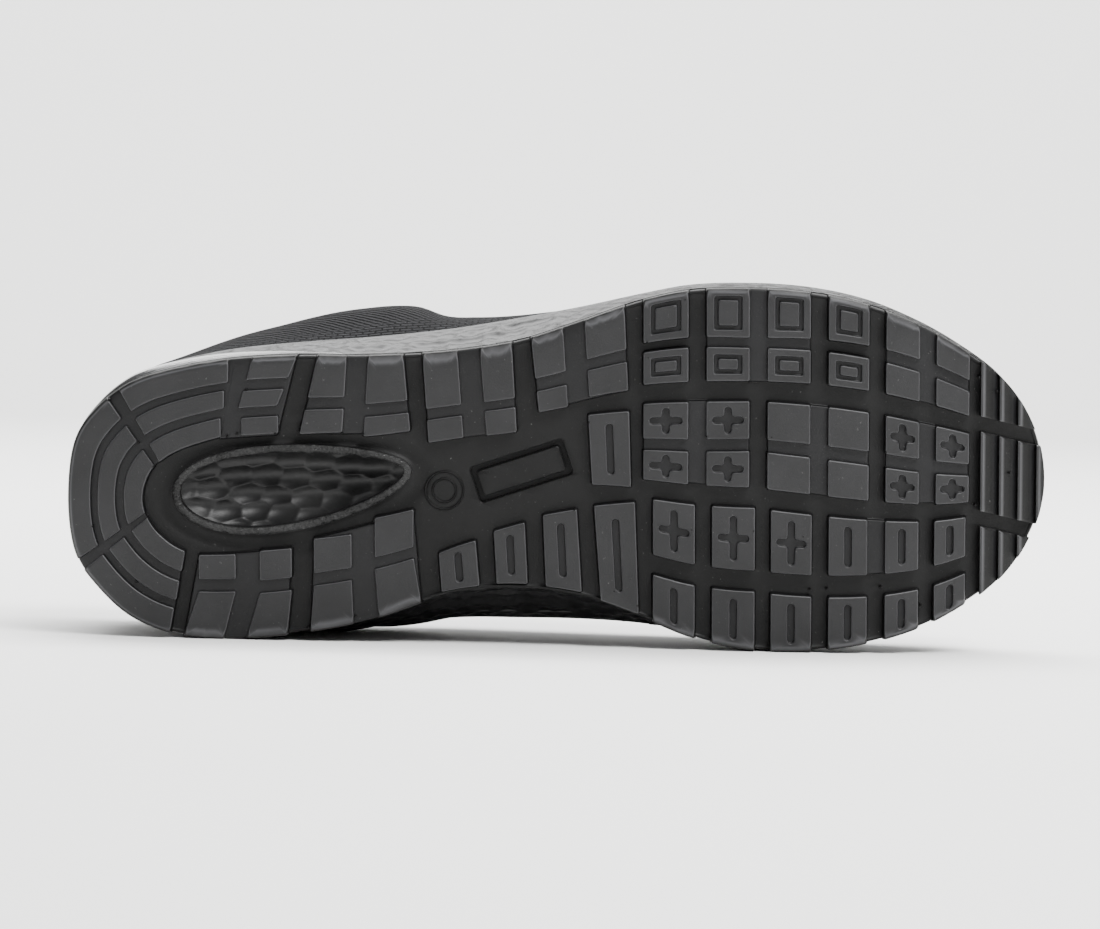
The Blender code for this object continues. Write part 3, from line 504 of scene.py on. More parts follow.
# The lace's weave crosses its width at a slant and shows as a fine ripple of painted shade and highlight.
lace_weave = knitted("polyester_lace_woven", "#050506", "#1c1c1e", 0.0008, 0.0016, 0.8, 0.0003)
print("finishes:", sorted(material.name for material in bpy.data.materials))

# %% [markdown]
# ## Lugs
# A lug is a block with rounded corners and a soft upper edge, and many have a shape sunk into their face:
# a square ring, a cross or a slot.  A boolean would leave ragged edges on so many, so each lug is a stack
# of rings of 48 points instead.  The rings start as a small circle inside the base, run up the wall, round
# the edge, cross the face, go down into the sunk shape and end in a small circle again.  Every outline is
# drawn as one quarter of 13 points and mirrored, so point k of one ring always faces point k of the next.

# %% Outlines of one quarter


def whole_ring(quarter):
    """A ring from its first quarter, which runs from the x axis to the y axis, ends included."""
    there = quarter[..., :-1, :]
    back = quarter[..., :0:-1, :]
    return np.concatenate([there, back * (-1, 1), -there, back * (1, -1)], axis=-2)


def round_box(half_x, half_y, radius, across=3):
    """Rectangles with round corners: 3 steps up the side, 6 round the corner, some back across."""
    half_x = np.atleast_1d(half_x)[:, None]
    half_y = np.atleast_1d(half_y)[:, None]
    radius = np.minimum(radius, np.minimum(half_x, half_y))
    up = np.arange(3) / 3
    turn = np.linspace(0, math.pi / 2, 7)
    back = np.arange(1, across + 1) / across
    x = [half_x + 0 * up, half_x - radius * (1 - np.cos(turn)), (half_x - radius) * (1 - back)]
    y = [(half_y - radius) * up, half_y - radius * (1 - np.sin(turn)), half_y + 0 * back]
    return whole_ring(np.stack([np.concatenate(x, axis=1), np.concatenate(y, axis=1)], axis=-1))


def round_cross(reach_x, reach_y, half, fillet):
    """Crosses with round arm ends and round inner corners, in the same 13 steps a quarter."""
    reach_x = np.atleast_1d(reach_x)[:, None]
    reach_y = np.atleast_1d(reach_y)[:, None]
    end = np.linspace(0, math.pi / 2, 4)
    corner = half + fillet * (1 - math.sqrt(0.5))
    flat = np.ones_like(reach_x)
    near_x = reach_x - half
    near_y = reach_y - half
    inner = half + fillet
    x = [near_x + half * np.cos(end), (near_x + inner) / 2, inner * flat, corner * flat, half * flat,
         half * flat, half * np.cos(end) * flat]
    y = [half * np.sin(end) * flat, half * flat, half * flat, corner * flat, inner * flat,
         (near_y + inner) / 2, near_y + half * np.sin(end)]
    return whole_ring(np.stack([np.concatenate(x, axis=1), np.concatenate(y, axis=1)], axis=-1))


DOT_RADIUS = 0.0004


def dot(count):
    """A small circle with as many points as the rings that it closes."""
    return DOT_RADIUS * unit_circle(count)[None]


# %% [markdown]
# ## Where the lugs lie
# A mould's maker draws each lug small and flat and then fits it to the curved sole.  The two classes here
# do the same: one spans a lug between four corners given along and across the sole, the other bends it
# round the heel, between the sole's edge and an inner line.

# %% Blocks on the sole
BLOCK = "start end near far start_far end_far near_end far_end"


def block(start, end, near, far, start_far=None, end_far=None, near_end=None, far_end=None):
    """A lug's two ends along the sole and two sides across it; each can differ at its far end."""
    return (
        start, end, near, far,
        start if start_far is None else start_far,
        end if end_far is None else end_far,
        near if near_end is None else near_end,
        far if far_end is None else far_end,
    )


class Blocks:
    """Lugs laid out by shares along and across the sole."""

    def __init__(self, rows):
        self.at = table(BLOCK, rows)
        self.at = {key: value[:, None] for key, value in self.at.items()}
        at = self.at
        middle = (at["start"] + at["end"] + at["start_far"] + at["end_far"]) / 4
        near = np.clip((at["near"] + at["near_end"]) / 2, 0, 1)
        far = np.clip((at["far"] + at["far_end"]) / 2, 0, 1)
        self.half_x = LENGTH * (at["end"] - at["start"] + at["end_far"] - at["start_far"])[:, 0] / 4
        self.half_y = np.linalg.norm(place(middle, far) - place(middle, near), axis=-1)[:, 0] / 2

    def plan(self, local):
        """Plan points of local points in metres: shares between the four corners, kept on the sole."""
        at = self.at
        a = (1 + local[..., 0] / self.half_x[:, None]) / 2
        b = (1 + local[..., 1] / self.half_y[:, None]) / 2
        start = at["start"] + (at["start_far"] - at["start"]) * b
        end = at["end"] + (at["end_far"] - at["end"]) * b
        near = np.clip(at["near"], 0, 1) + (np.clip(at["near_end"], 0, 1) - np.clip(at["near"], 0, 1)) * a
        far = np.clip(at["far"], 0, 1) + (np.clip(at["far_end"], 0, 1) - np.clip(at["far"], 0, 1)) * a
        return place(start + (end - start) * a, np.clip(near + (far - near) * b, 0, 1))


# The inner side of the heel's last band: turns round the heel, and the line's points there in mm.
INNER_LINE = table("turn x y", [
    (-1.10, 73.0, -21.0),
    (-0.85, 50.5, -17.0),
    (-0.66, 36.5, -12.9),
    (-0.44, 28.0, -7.9),
    (-0.20, 24.4, -2.3),
    (0.00, 23.5, 2.6),
    (0.23, 24.6, 7.9),
    (0.44, 28.5, 13.6),
    (0.66, 36.4, 18.9),
    (0.90, 52.0, 22.0),
])
INNER_DEPTH = 0.215


class Bands:
    """Curved lugs laid out between the sole's edge and the heel's inner line, by turns and depths."""

    def __init__(self, rows):
        self.at = {key: value[:, None] for key, value in table("first last outer inner", rows).items()}
        arc = np.linalg.norm(edge(self.at["last"]) - edge(self.at["first"]), axis=-1)
        depth = (self.at["outer"] + self.at["inner"]) / 2 * BALL_WIDTH
        self.half_x = (arc - depth * np.abs(self.at["last"] - self.at["first"]) * 0.5)[:, 0] / 2
        self.half_y = ((self.at["inner"] - np.clip(self.at["outer"], 0, 1)) * BALL_WIDTH)[:, 0] / 2

    def plan(self, local):
        """Plan points of local points: the edge at a turn, and in from it along its normal."""
        at = self.at
        a = (1 + local[..., 0] / self.half_x[:, None]) / 2
        b = (1 + local[..., 1] / self.half_y[:, None]) / 2
        outer = np.clip(at["outer"], 0, 1)
        depth = np.clip(outer + (at["inner"] - outer) * b, 0, 1)
        turn = at["first"] + (at["last"] - at["first"]) * a
        inner = [smooth(INNER_LINE["turn"], INNER_LINE[axis] * MM, turn) for axis in ("x", "y")]
        return edge(turn) + (np.stack(inner, axis=-1) - edge(turn)) * (depth / INNER_DEPTH)[..., None]


# %% [markdown]
# ## A lug's section
# A real lug leaves its mould because its walls lean, its foot has a fillet and its face a soft edge.  All
# lugs share one such section, and the shapes sunk into their faces share another.

# %% Rings of a lug
# How far each ring of the wall stands out from the lug's outline, and how deep it lies below the face.
WALL_RINGS = table("grow depth", [
    (0.50, 3.80),
    (0.42, 3.50),
    (0.22, 3.25),
    (0.16, 2.40),
    (0.02, 0.62),
    (-0.05, 0.36),
    (-0.20, 0.14),
    (-0.42, 0.03),
    (-0.60, 0.00),
    (-0.70, 0.00),
])
# The same for a sunk shape: from the face down to its floor.
SUNK_RINGS = table("grow depth", [
    (0.42, 0.00),
    (0.34, 0.00),
    (0.14, 0.06),
    (0.00, 0.24),
    (-0.12, 1.15),
    (-0.32, 1.30),
    (-0.40, 1.30),
])
LUG_CORNER = 0.0006
ROOT_DEPTH = 3.8 * MM
WALL_FOOT = 3.5 * MM
RING_INSET = 0.0023
RING_GROOVE = 0.0014
SUNK_LEAN = 0.15 * MM
SLOT_REACH = 0.70
CROSS_REACH = (0.74, 0.72)
CROSS_FILLET = 0.0009


def lug_rings(layout, kind, low=0.0, corner=LUG_CORNER, across=3, slices=1, root=LUG_DEPTH, inset=0.0):
    """Local outlines and depths of a lug's rings, from the circle under it to the circle on its face.

    low is how deep its face lies, root how deep its walls go, and slices how many rings cross the face.
    """
    x, y = layout.half_x - inset, layout.half_y - inset
    count = 4 * (9 + across)
    first = round_box(x, y, corner, across)
    rings = [(np.broadcast_to(dot(count), first.shape), ROOT_DEPTH)]
    for grow, depth in zip(WALL_RINGS["grow"] * MM, WALL_RINGS["depth"] * MM):
        sunk = low + depth * (root - low) / root if depth < WALL_FOOT else depth
        rings.append((round_box(x + grow, y + grow, corner + max(grow, -0.5 * corner), across), sunk))
    steps = list(zip(SUNK_RINGS["grow"] * MM, SUNK_RINGS["depth"] * MM))
    if kind == "ring":
        for wall_at, way in ((RING_INSET, 1), (RING_INSET + RING_GROOVE, -1)):
            for grow, depth in steps[::way]:
                step = wall_at - way * grow
                rings.append((round_box(x - step, y - step, corner, across), depth))
    if kind in ("slot", "cross"):
        for grow, depth in steps:
            half = SLOT_WIDTH / 2 - SUNK_LEAN + grow
            if kind == "slot":
                outline = round_box(np.full_like(x, half), SLOT_REACH * y + grow, half, across)
            else:
                reach_x, reach_y = CROSS_REACH[0] * x + grow, CROSS_REACH[1] * y + grow
                outline = round_cross(reach_x, reach_y, half, CROSS_FILLET - grow)
            rings.append((outline, depth))
    last, depth = rings[-1]
    small = np.broadcast_to(dot(count), first.shape)
    for share in np.arange(1, slices + 1) / slices:
        rings.append((last + (small - last) * share, depth))
    return rings


EDGE_LINE = edge(ring_turns(900))
# Where the edge falls, the tread's ramp paints a highlight band along the outline and shade at its very edge.
EDGE_ROUND = 0.0018


def edge_fall(plan):
    """How far the sole's soft edge falls back: a circle's fall over the last stretch before the outline."""
    near = np.full(plan.shape[:-1], 1.0)
    for part in np.array_split(EDGE_LINE, 45):
        away = plan[..., None, :] - part
        near = np.minimum(near, np.sqrt((away ** 2).sum(axis=-1)).min(axis=-1))
    share = np.clip(1 - near / EDGE_ROUND, 0, 1)
    return EDGE_ROUND * (1 - np.sqrt(1 - 0.85 * share ** 2))


def lug_mesh(layout, rings):
    """Points and faces of all lugs of one layout."""
    rows = []
    for outline, depth in rings:
        plan = layout.plan(outline)
        rows.append(raise_plan(plan, depth + edge_fall(plan) * max(0.0, 1 - depth / LUG_DEPTH)))
    points = np.stack(rows, axis=1)
    lugs, rows, count, _ = points.shape
    one = grid_faces(rows, count)[:, ::-1].tolist()
    one += cap_faces(0, count)
    one += [face[::-1] for face in cap_faces((rows - 1) * count, count)]
    faces = [[lug * rows * count + corner for corner in face] for lug in range(lugs) for face in one]
    return points.reshape(-1, 3), faces


def joined(parts):
    """Several sets of points and faces as one, with each set's corners counted on from the last's."""
    points = []
    faces = []
    total = 0
    for some_points, some_faces in parts:
        points.append(some_points)
        faces += [[total + corner for corner in face] for face in some_faces]
        total += len(some_points)
    return np.concatenate(points), faces


# %% [markdown]
# ## The heel's lugs
# Round the heel run three curved bands, cut into sectors.  On both sides of the window stand slanting
# pairs of blocks, one broad and one narrow, and shallower bars tie every other pair together.

# %% Tables of the heel's lugs
HEEL_BANDS = ((-0.030, 0.066), (0.086, 0.137), (0.161, 0.215))
HEEL_SECTORS = table("start end start_lean end_lean", [
    (-0.168, -0.054, 0.012, 0.000),
    (-0.042, 0.010, 0.000, 0.000),
    (0.016, 0.104, 0.000, 0.002),
])
OUTER_LUGS = table("start end start_in end_in broad near far", [
    (0.190, 0.236, 0.175, 0.215, 0.080, 0.117, 0.178),
    (0.256, 0.286, 0.237, 0.281, 0.154, 0.195, 0.283),
    (0.307, 0.343, 0.302, 0.350, 0.183, 0.229, 0.304),
    (0.362, 0.398, 0.368, 0.404, 0.226, 0.269, 0.363),
    (0.420, 0.453, 0.427, 0.458, 0.228, 0.263, 0.366),
    (0.472, 0.505, 0.480, 0.510, 0.168, 0.217, 0.302),
    (0.526, 0.567, 0.531, 0.571, 0.144, 0.183, 0.279),
])
INNER_LUGS = table("start end start_in end_in near far broad", [
    (0.118, 0.159, 0.134, 0.172, 0.695, 0.785, 0.828),
    (0.182, 0.224, 0.196, 0.229, 0.688, 0.795, 0.838),
    (0.247, 0.292, 0.251, 0.290, 0.662, 0.788, 0.832),
    (0.317, 0.361, 0.313, 0.353, 0.614, 0.765, 0.808),
])
HEEL_BLOCK = (0.178, 0.216, 0.212, 0.276)
WAIST_LUGS = table("start end near near_end far start_far end_far", [
    (0.378, 0.416, 0.817, 0.789, 0.980, 0.381, 0.420),
    (0.434, 0.466, 0.758, 0.728, 0.975, 0.437, 0.469),
    (0.484, 0.519, 0.702, 0.679, 0.980, 0.487, 0.524),
    (0.536, 0.578, 0.663, 0.635, 0.992, 0.543, 0.582),
    (0.530, 0.572, 0.341, 0.344, 0.590, 0.534, 0.574),
])


def signed_turn(along):
    """Turn of a place along the edge, negative on the outer side."""
    return math.copysign(1, along) * float(turn_of(abs(along)))


def band_rows():
    """Each sector of each band: where it starts and ends along the edge, and its two depths."""
    rows = []
    for start, end, start_lean, end_lean in zip(*HEEL_SECTORS.values()):
        for outer, inner in HEEL_BANDS:
            share = (max(outer, 0) + inner) / 2 / HEEL_BANDS[-1][1]
            first = signed_turn(start + start_lean * share)
            last = signed_turn(end + end_lean * share)
            rows.append((first, last, outer, inner))
    return rows


def side_rows():
    """The slanting blocks on both sides of the heel and the waist."""
    rows = [block(*HEEL_BLOCK)]
    for start, end, start_in, end_in, broad, near, far in zip(*OUTER_LUGS.values()):
        for low, high in ((0.0, broad), (near, far)):
            a, b = low / far, high / far
            rows.append(block(start + (start_in - start) * a, end + (end_in - end) * a, low, high,
                              start + (start_in - start) * b, end + (end_in - end) * b))
    for start, end, start_in, end_in, near, far, broad in zip(*INNER_LUGS.values()):
        rows.append(block(start_in, end_in, near, far))
        rows.append(block(start_in, end_in, broad, 1.0, start, end))
    return rows


def tread_piece(name, points, faces, material=tread_rubber, **more):
    """A piece of the moulded rubber tread."""
    return make_piece(name, points, faces, material, "outsole_rubber", "outsole", **more)


bands = Bands(band_rows())
sides = Blocks(side_rows())
waist = Blocks([block(**dict(zip(WAIST_LUGS, row))) for row in zip(*WAIST_LUGS.values())])
heel_parts = [
    lug_mesh(bands, lug_rings(bands, "plain", across=14, slices=7)),
    lug_mesh(sides, lug_rings(sides, "plain", slices=2)),
    lug_mesh(waist, lug_rings(waist, "slot")),
]
tread_piece("heel_lugs", *joined(heel_parts))

# %% [markdown]
# ## The forefoot's lugs
# Six rows of six: rings, rings, crosses, crosses, long crosses and slots, and slots.  The rows spread
# towards the ball and close again towards the toe, so each is read between three places along the sole.
# In a row's letters r is a ring, x a cross, s a slot and a dot a bare face; in its ties 1 is a shared pad.

# %% Tables and lugs of the forefoot
FORE_COLUMNS = table("start end start_inner end_inner", [
    (0.586, 0.632, 0.596, 0.639),
    (0.650, 0.694, 0.656, 0.700),
    (0.712, 0.756, 0.716, 0.758),
    (0.774, 0.816, 0.775, 0.815),
    (0.833, 0.868, 0.833, 0.868),
    (0.885, 0.920, 0.884, 0.917),
])
FIRST_INNER_ROW = 4
FORE_PLACES = (0.610, 0.700, 0.900)
FORE_ROWS = ((-0.0, 0.136, -0.0, 0.136, -0.0, 0.108),
             (0.164, 0.266, 0.162, 0.254, 0.152, 0.250),
             (0.324, 0.434, 0.308, 0.412, 0.320, 0.444),
             (0.468, 0.562, 0.445, 0.547, 0.488, 0.596),
             (0.618, 0.790, 0.602, 0.777, 0.652, 0.808),
             (0.850, 1.000, 0.834, 1.000, 0.874, 1.000))
FORE_RECESSES = ("rrrr..", "rrrr..", "xx..xx", "xx..xx", "xxxsss", "ssssss")
FORE_TIES = ("01001", "01001", "10101", "10101", "00010", "00000")
KINDS = {"r": "ring", "x": "cross", "s": "slot", ".": "plain"}


def row_share(row, far, along):
    """A row's near or far side at a place along, between its shares at the waist, the ball and the toe."""
    return float(np.interp(along, FORE_PLACES, FORE_ROWS[row][1 if far else 0::2]))


def column_ends(row, column):
    """Where a lug starts and ends along the sole."""
    half = "_inner" if row >= FIRST_INNER_ROW else ""
    return FORE_COLUMNS["start" + half][column], FORE_COLUMNS["end" + half][column]


def fore_block(row, start, end, near_row=None):
    """A block of one row, or of two rows together, between two places along the sole."""
    top = row if near_row is None else near_row
    return block(start, end, row_share(top, False, start), row_share(row, True, start),
                 near_end=row_share(top, False, end), far_end=row_share(row, True, end))


fore_parts = []
for letter, kind in KINDS.items():
    rows = [
        fore_block(row, *column_ends(row, column))
        for row, letters in enumerate(FORE_RECESSES)
        for column, mark in enumerate(letters)
        if mark == letter
    ]
    layout = Blocks(rows)
    fore_parts.append(lug_mesh(layout, lug_rings(layout, kind, slices=2 if kind == "plain" else 1)))
tread_piece("forefoot_lugs", *joined(fore_parts))

# %% [markdown]
# ## Pads and ties
# Some neighbouring lugs share a pad that stands between the groove's floor and their faces.  The pads are
# the same kind of block, only lower.

# %% Pads under the lugs
PAD_DEPTH = 0.0019
TIE_DEPTH = 0.0013
PAD_INSET = 0.0002
HEEL_PAD = (-0.180, 0.1055)
# The heel's pad lies a hair lower than the ties, so no two faces share one plane.
HEEL_PAD_DEPTH = TIE_DEPTH + 0.00005
# The first outer pad reaches ahead of its lugs and in past them, as shares of the length and of the width.
FIRST_TIE_START = -0.020
FIRST_TIE_FAR = 0.284


def pad_rows():
    """Pads of the forefoot: across two rows where both are tied, and along two columns."""
    rows = []
    for row, marks in enumerate(FORE_TIES):
        paired = row in (0, 2)
        for column, mark in enumerate(marks):
            if mark == "1" and row not in (1, 3):
                start = column_ends(row, column)[0]
                end = column_ends(row, column + 1)[1]
                rows.append(fore_block(row + 1 if paired else row, start, end, row))
    return rows


def tie_rows():
    """Pads of the slanting blocks: one under each pair of rows, and one under the first outer row."""
    rows = []
    outer = [{key: value[row] for key, value in OUTER_LUGS.items()} for row in range(7)]
    inner = [{key: value[row] for key, value in INNER_LUGS.items()} for row in range(4)]
    outer[0]["far"] = FIRST_TIE_FAR
    for first, last in ((0, 0), (1, 2), (3, 4), (5, 6)):
        a, b = outer[first], outer[last]
        before = FIRST_TIE_START if first == 0 else 0.0
        rows.append(block(a["start"] + before, b["end"], 0.0, a["far"],
                          a["start_in"] + before, b["end_in"], far_end=b["far"]))
    for first, last in ((0, 1), (2, 3)):
        a, b = inner[first], inner[last]
        rows.append(block(a["start_in"], b["end_in"], a["near"], 1.0,
                          a["start"], b["end"], near_end=b["near"]))
    return rows


pads = Blocks(pad_rows())
ties = Blocks(tie_rows())
heel_pad = Bands([(*(signed_turn(end) for end in HEEL_PAD), 0.0, HEEL_BANDS[-1][1])])
pad_parts = [
    lug_mesh(layout, lug_rings(layout, "plain", low=low, across=across, slices=slices, inset=PAD_INSET))
    for layout, low, across, slices in (
        (pads, PAD_DEPTH, 3, 3), (ties, TIE_DEPTH, 8, 4), (heel_pad, HEEL_PAD_DEPTH, 40, 7),
    )
]
tread_piece("tread_pads", *joined(pad_parts))

# %% [markdown]
# ## The toe's pads
# Three pads run out over the toe, ribbed like a file: each rib slopes away and steps back up.  A pad is a
# grid whose height is a saw's wave along it, with the outline as its last row.

# %% Toe pads
TOE_PADS = ((0.0, 0.235), (0.300, 0.640), (0.705, 1.0))
TOE_START = 0.932
TOE_RIB = 0.0060
TOE_TURN = 0.27
TOE_RIBS = 6
# Through the tread's ramp each rib is painted: a highlight just below its ridge, then shade down its slope.
RIB_DEPTH = 0.0017
# Rows of one rib in mm, close together where the wave steps back up.
RIB_ROWS = (0.0, 0.15, 0.4, 2.2, 4.4, 5.7)
BORDER_ROWS = (0.0, 0.15, 0.4)
SOFT_EDGE = 0.35 * MM
SOFT_WIDTH = 0.4 * MM


def toe_reach(start):
    """How far a line ahead from each start point runs before it meets the sole's outline."""
    steps = np.linspace(0, 0.03, 601)
    x = start[:, None, 0] + steps
    y = start[:, None, 1] + TOE_TURN * steps
    turn = turn_of(np.clip(x / LENGTH, 0, 1))
    outer = read(SOLE, "lateral", turn) * BALL_WIDTH
    inner = read(SOLE, "medial", turn) * BALL_WIDTH
    inside = (x < LENGTH) & (y > outer) & (y < inner)
    inside[:, 0] = True
    return steps[np.argmin(np.logical_and.accumulate(inside, axis=1), axis=1)]


def toe_pad(near, far):
    """A pad's closed grid: rows along the toe, saw waves on the face, a skirt down to the base."""
    border = np.array(BORDER_ROWS) * MM
    width = float(np.linalg.norm(place(TOE_START, far) - place(TOE_START, near)))
    offsets = np.concatenate([border, np.linspace(1.0 * MM, width - 1.0 * MM, 22), width - border[::-1]])
    share = near + (far - near) * offsets / width
    start = place(np.full_like(share, TOE_START), share)
    reach = toe_reach(start)
    ribs = np.arange(TOE_RIBS)[:, None] * TOE_RIB + np.array(RIB_ROWS) * MM
    t = np.minimum(ribs.ravel()[:, None], reach[None, :])
    plan = np.stack([start[:, 0] + t, start[:, 1] + TOE_TURN * t], axis=-1)
    phase = (t / TOE_RIB) % 1.0
    saw = RIB_DEPTH * np.clip((phase - 0.07) / 0.88, 0, 1) * (t > 0.3 * MM)
    edge_in = np.minimum(offsets, width - offsets)
    soft = SOFT_EDGE * np.clip(1 - edge_in / SOFT_WIDTH, 0, 1) ** 2
    front = SOFT_EDGE * np.clip(1 - t / SOFT_WIDTH, 0, 1) ** 2
    top = raise_plan(plan, np.maximum(saw, np.maximum(soft[None, :], front)))
    under = raise_plan(plan, ROOT_DEPTH)
    rows, count, _ = top.shape
    face = grid_faces(rows, count, closed_ring=False)
    ring = np.concatenate([
        np.arange(count), np.arange(1, rows) * count + count - 1,
        (rows - 1) * count + np.arange(count - 2, -1, -1), np.arange(rows - 2, 0, -1) * count,
    ])
    after = np.roll(ring, -1)
    skirt = np.stack([ring, ring + rows * count, after + rows * count, after], axis=1)
    faces = face[:, ::-1].tolist() + (face + rows * count).tolist() + skirt[:, ::-1].tolist()
    return np.concatenate([top.reshape(-1, 3), under.reshape(-1, 3)]), faces


def merged(points, faces, distance=1e-6):
    """Points closer than a distance made one, and faces that lost their area dropped."""
    keys = np.round(points / distance).astype(np.int64)
    _, first, same = np.unique(keys, axis=0, return_index=True, return_inverse=True)
    same = same.ravel()
    kept = []
    for face in faces:
        corners = []
        for corner in face:
            if not corners or same[corner] != corners[-1]:
                corners.append(int(same[corner]))
        if len(corners) > 1 and corners[0] == corners[-1]:
            corners.pop()
        if len(set(corners)) == len(corners) and len(corners) > 2:
            kept.append(corners)
    return points[first], kept


toe_parts = [merged(*toe_pad(near, far)) for near, far in TOE_PADS]
tread_piece("toe_pads", *joined(toe_parts), sharp=25)

# %% [markdown]
# ## The base of the tread
# Between the lugs shows a thin base with an egg-shaped window in the heel, and round the window runs a
# bead of rough rubber.  The base is a ring-shaped grid from the window's edge out to the sole's edge and
# back above, with a smooth moat round the window and a low lip at its rim.

# %% Window, base and bead
WINDOW_START = 0.1155
WINDOW_TAPER = 0.27
WINDOW_SHIFT = 0.011
WINDOW_DRIFT = 0.060


def window_ring(grow, angle):
    """The egg-shaped window: an ellipse whose width tapers and whose middle drifts outward in front."""
    forward = np.cos(angle)
    share = (1 + forward) / 2
    x = WINDOW_START * LENGTH + WINDOW_LENGTH * share + grow * forward
    y = (WINDOW_WIDTH / 2 * (1 - WINDOW_TAPER * forward) + grow) * np.sin(angle)
    y = y + (WINDOW_SHIFT - WINDOW_DRIFT * share ** 2) * BALL_WIDTH
    return np.stack([x, y], axis=-1)


WINDOW_MIDDLE = np.array([WINDOW_START * LENGTH + WINDOW_LENGTH / 2, 0.0])


def facing(ring):
    """Angles of a ring's points as seen from the window's middle."""
    away = ring - WINDOW_MIDDLE
    return np.arctan2(away[:, 1], away[:, 0])


MOAT_WIDTH = 11 * MM


def between_rings(angle, ring, shares):
    """Plan rings between the moat's outer edge and an outer ring, at shares of the way."""
    start = window_ring(MOAT_WIDTH, angle)
    return [start + (ring - start) * share for share in shares]


def window_rings(profile, angle):
    """Rings round the window through a section: how far each is grown from it, and how deep it lies."""
    return [raise_plan(window_ring(grow * MM, angle), depth * MM) for grow, depth in zip(*profile.values())]


BASE_RING = 360
LIP_INSET = 1.3 * MM
outline = edge(ring_turns(BASE_RING))
base_edge = outline + inward(outline) * SEAM_GAP
angle = facing(base_edge)
MOAT = table("grow depth", [
    (0.0, 5.8), (0.0, 4.2), (0.2, 3.7), (1.2, 3.6), (2.6, 3.7), (3.2, 4.1), (4.2, 4.4), (5.5, 4.5),
    (7.0, 4.4), (8.4, 4.0), (9.6, 3.6), (11.0, 3.5),
])
BASE_LIP = ((1.1, -0.12), (0.95, -0.34), (0.7, -0.42), (0.4, -0.34), (0.15, 0.0), (0.0, 0.6))
rings = window_rings(MOAT, angle)
shares = np.linspace(0, 1, 22)[1:]
inner_edge = base_edge + inward(outline) * LIP_INSET
rings += [raise_plan(plan, LUG_DEPTH) for plan in between_rings(angle, inner_edge, shares)]
for inset, fall in BASE_LIP:
    rings.append(raise_plan(base_edge + inward(outline) * inset * MM, LUG_DEPTH + fall * MM))
top = LUG_DEPTH + BASE_THICKNESS
rings += [raise_plan(plan, top) for plan in between_rings(angle, base_edge, shares[::-1])]
rings.append(raise_plan(window_ring(1.0 * MM, angle), top))
base_faces = grid_faces(len(rings), BASE_RING, closed_rows=True).tolist()
tread_base = tread_piece("tread_base", np.concatenate(rings), base_faces)


def noise(points, size, seed):
    """Soft noise in about -1..1: sines along several fixed directions, each with its own phase."""
    random = np.random.default_rng(seed)
    total = np.zeros(points.shape[:-1])
    for _ in range(7):
        way = random.normal(size=3)
        way = way / np.linalg.norm(way) * 2 * math.pi / size * random.uniform(0.6, 1.5)
        total += np.sin(points @ way + random.uniform(0, 2 * math.pi))
    return total / 3.5


BEAD = table("grow depth", [
    (0.0, 3.9), (0.0, 2.1), (0.15, 1.6), (0.6, 1.35), (1.2, 1.3), (1.9, 1.35), (2.35, 1.6), (2.5, 2.1),
    (2.65, 3.9),
])
BEAD_RING = 480
BEAD_GRAIN = 0.16 * MM
rings = np.stack(window_rings(BEAD, even_angles(BEAD_RING)))
grain = noise(rings, 2.4 * MM, 3) + 0.6 * noise(rings, 1.1 * MM, 4)
rings[1:-1, :, 2] += BEAD_GRAIN * grain[1:-1]
bead_faces = grid_faces(len(rings), BEAD_RING, closed_rows=True).tolist()
tread_piece("window_bead", rings.reshape(-1, 3), bead_faces, bead_rubber)

# %% [markdown]
# ## Vent pips
# Air leaves the mould through pinholes, and each leaves a pip of rubber beside a lug's corner, painted black
# with the tread's deepest painted shade.  A pip is four rings that narrow to a round tip, and its place on
# the shoe is given in mm.

# %% Vent pips
PIP_RADIUS = 0.00042
PIP_SIDES = 12
PIP_PROFILE = ((1.0, 3.6), (0.9, 0.3), (0.75, 0.05), (0.4, -0.08))
VENT_PIPS = (
    (7.8, 11.5), (13.4, -27.9), (21.3, 28.6), (22.4, -14.5), (26.9, -7.2), (49.6, -16.5),
    (52.6, -17.3), (55.6, -30.9), (64.5, -17.5), (71.6, -18.0), (74.4, 42.8), (85.0, -17.3),
    (88.8, 39.4), (91.5, -17.3), (94.7, 9.8), (156.4, 6.1), (160.9, -20.9), (168.7, 31.4),
    (175.8, 35.9), (178.7, -45.6), (179.1, -40.8), (190.4, -58.6), (192.6, 12.4), (197.2, -16.5),
    (210.2, -33.5), (211.6, 12.7), (217.0, -16.2), (227.0, 14.6), (229.2, 31.2), (234.5, 31.0),
    (251.3, 30.8), (252.6, -11.2), (263.9, 36.9), (274.3, 29.9), (280.9, 6.0), (281.8, -33.7),
    (287.5, -29.3), (291.9, -3.7),
)
circle = unit_circle(PIP_SIDES) * PIP_RADIUS
pip_parts = []
for pip in np.array(VENT_PIPS) * MM:
    rings = [raise_plan(pip + circle * share, depth * MM) for share, depth in PIP_PROFILE]
    pip_parts.append((np.concatenate(rings), tube_faces(len(rings), PIP_SIDES)))
pip_points, pip_faces = joined(pip_parts)
# Relief 0 paints each pip with the darkest painted shade of the tread's ramp.
tread_piece("vent_pips", pip_points, pip_faces, relief=np.zeros(len(pip_points)))

# %% [markdown]
# ## Panel and round mark
# The waist has a bare plate inside a sunk frame, and a plain round mark of two raised rings.  The frame is
# a real groove, cut out of the base by a boolean, because the base's grid doesn't run along it.

# %% Panel and mark
PANEL_AT = (0.4625, -0.0495)
PANEL_TURN = -0.31
PANEL_HALF = (0.0150, 0.00575)
BUTTON_AT = (0.384, 0.004)
BUTTON_RADIUS = 0.0058


def turned(local, turn, at):
    """Local plan points, turned and put at shares of the length and the ball's width."""
    c, s = math.cos(turn), math.sin(turn)
    return local @ np.array([[c, s], [-s, c]]) + np.array(at) * (LENGTH, BALL_WIDTH)


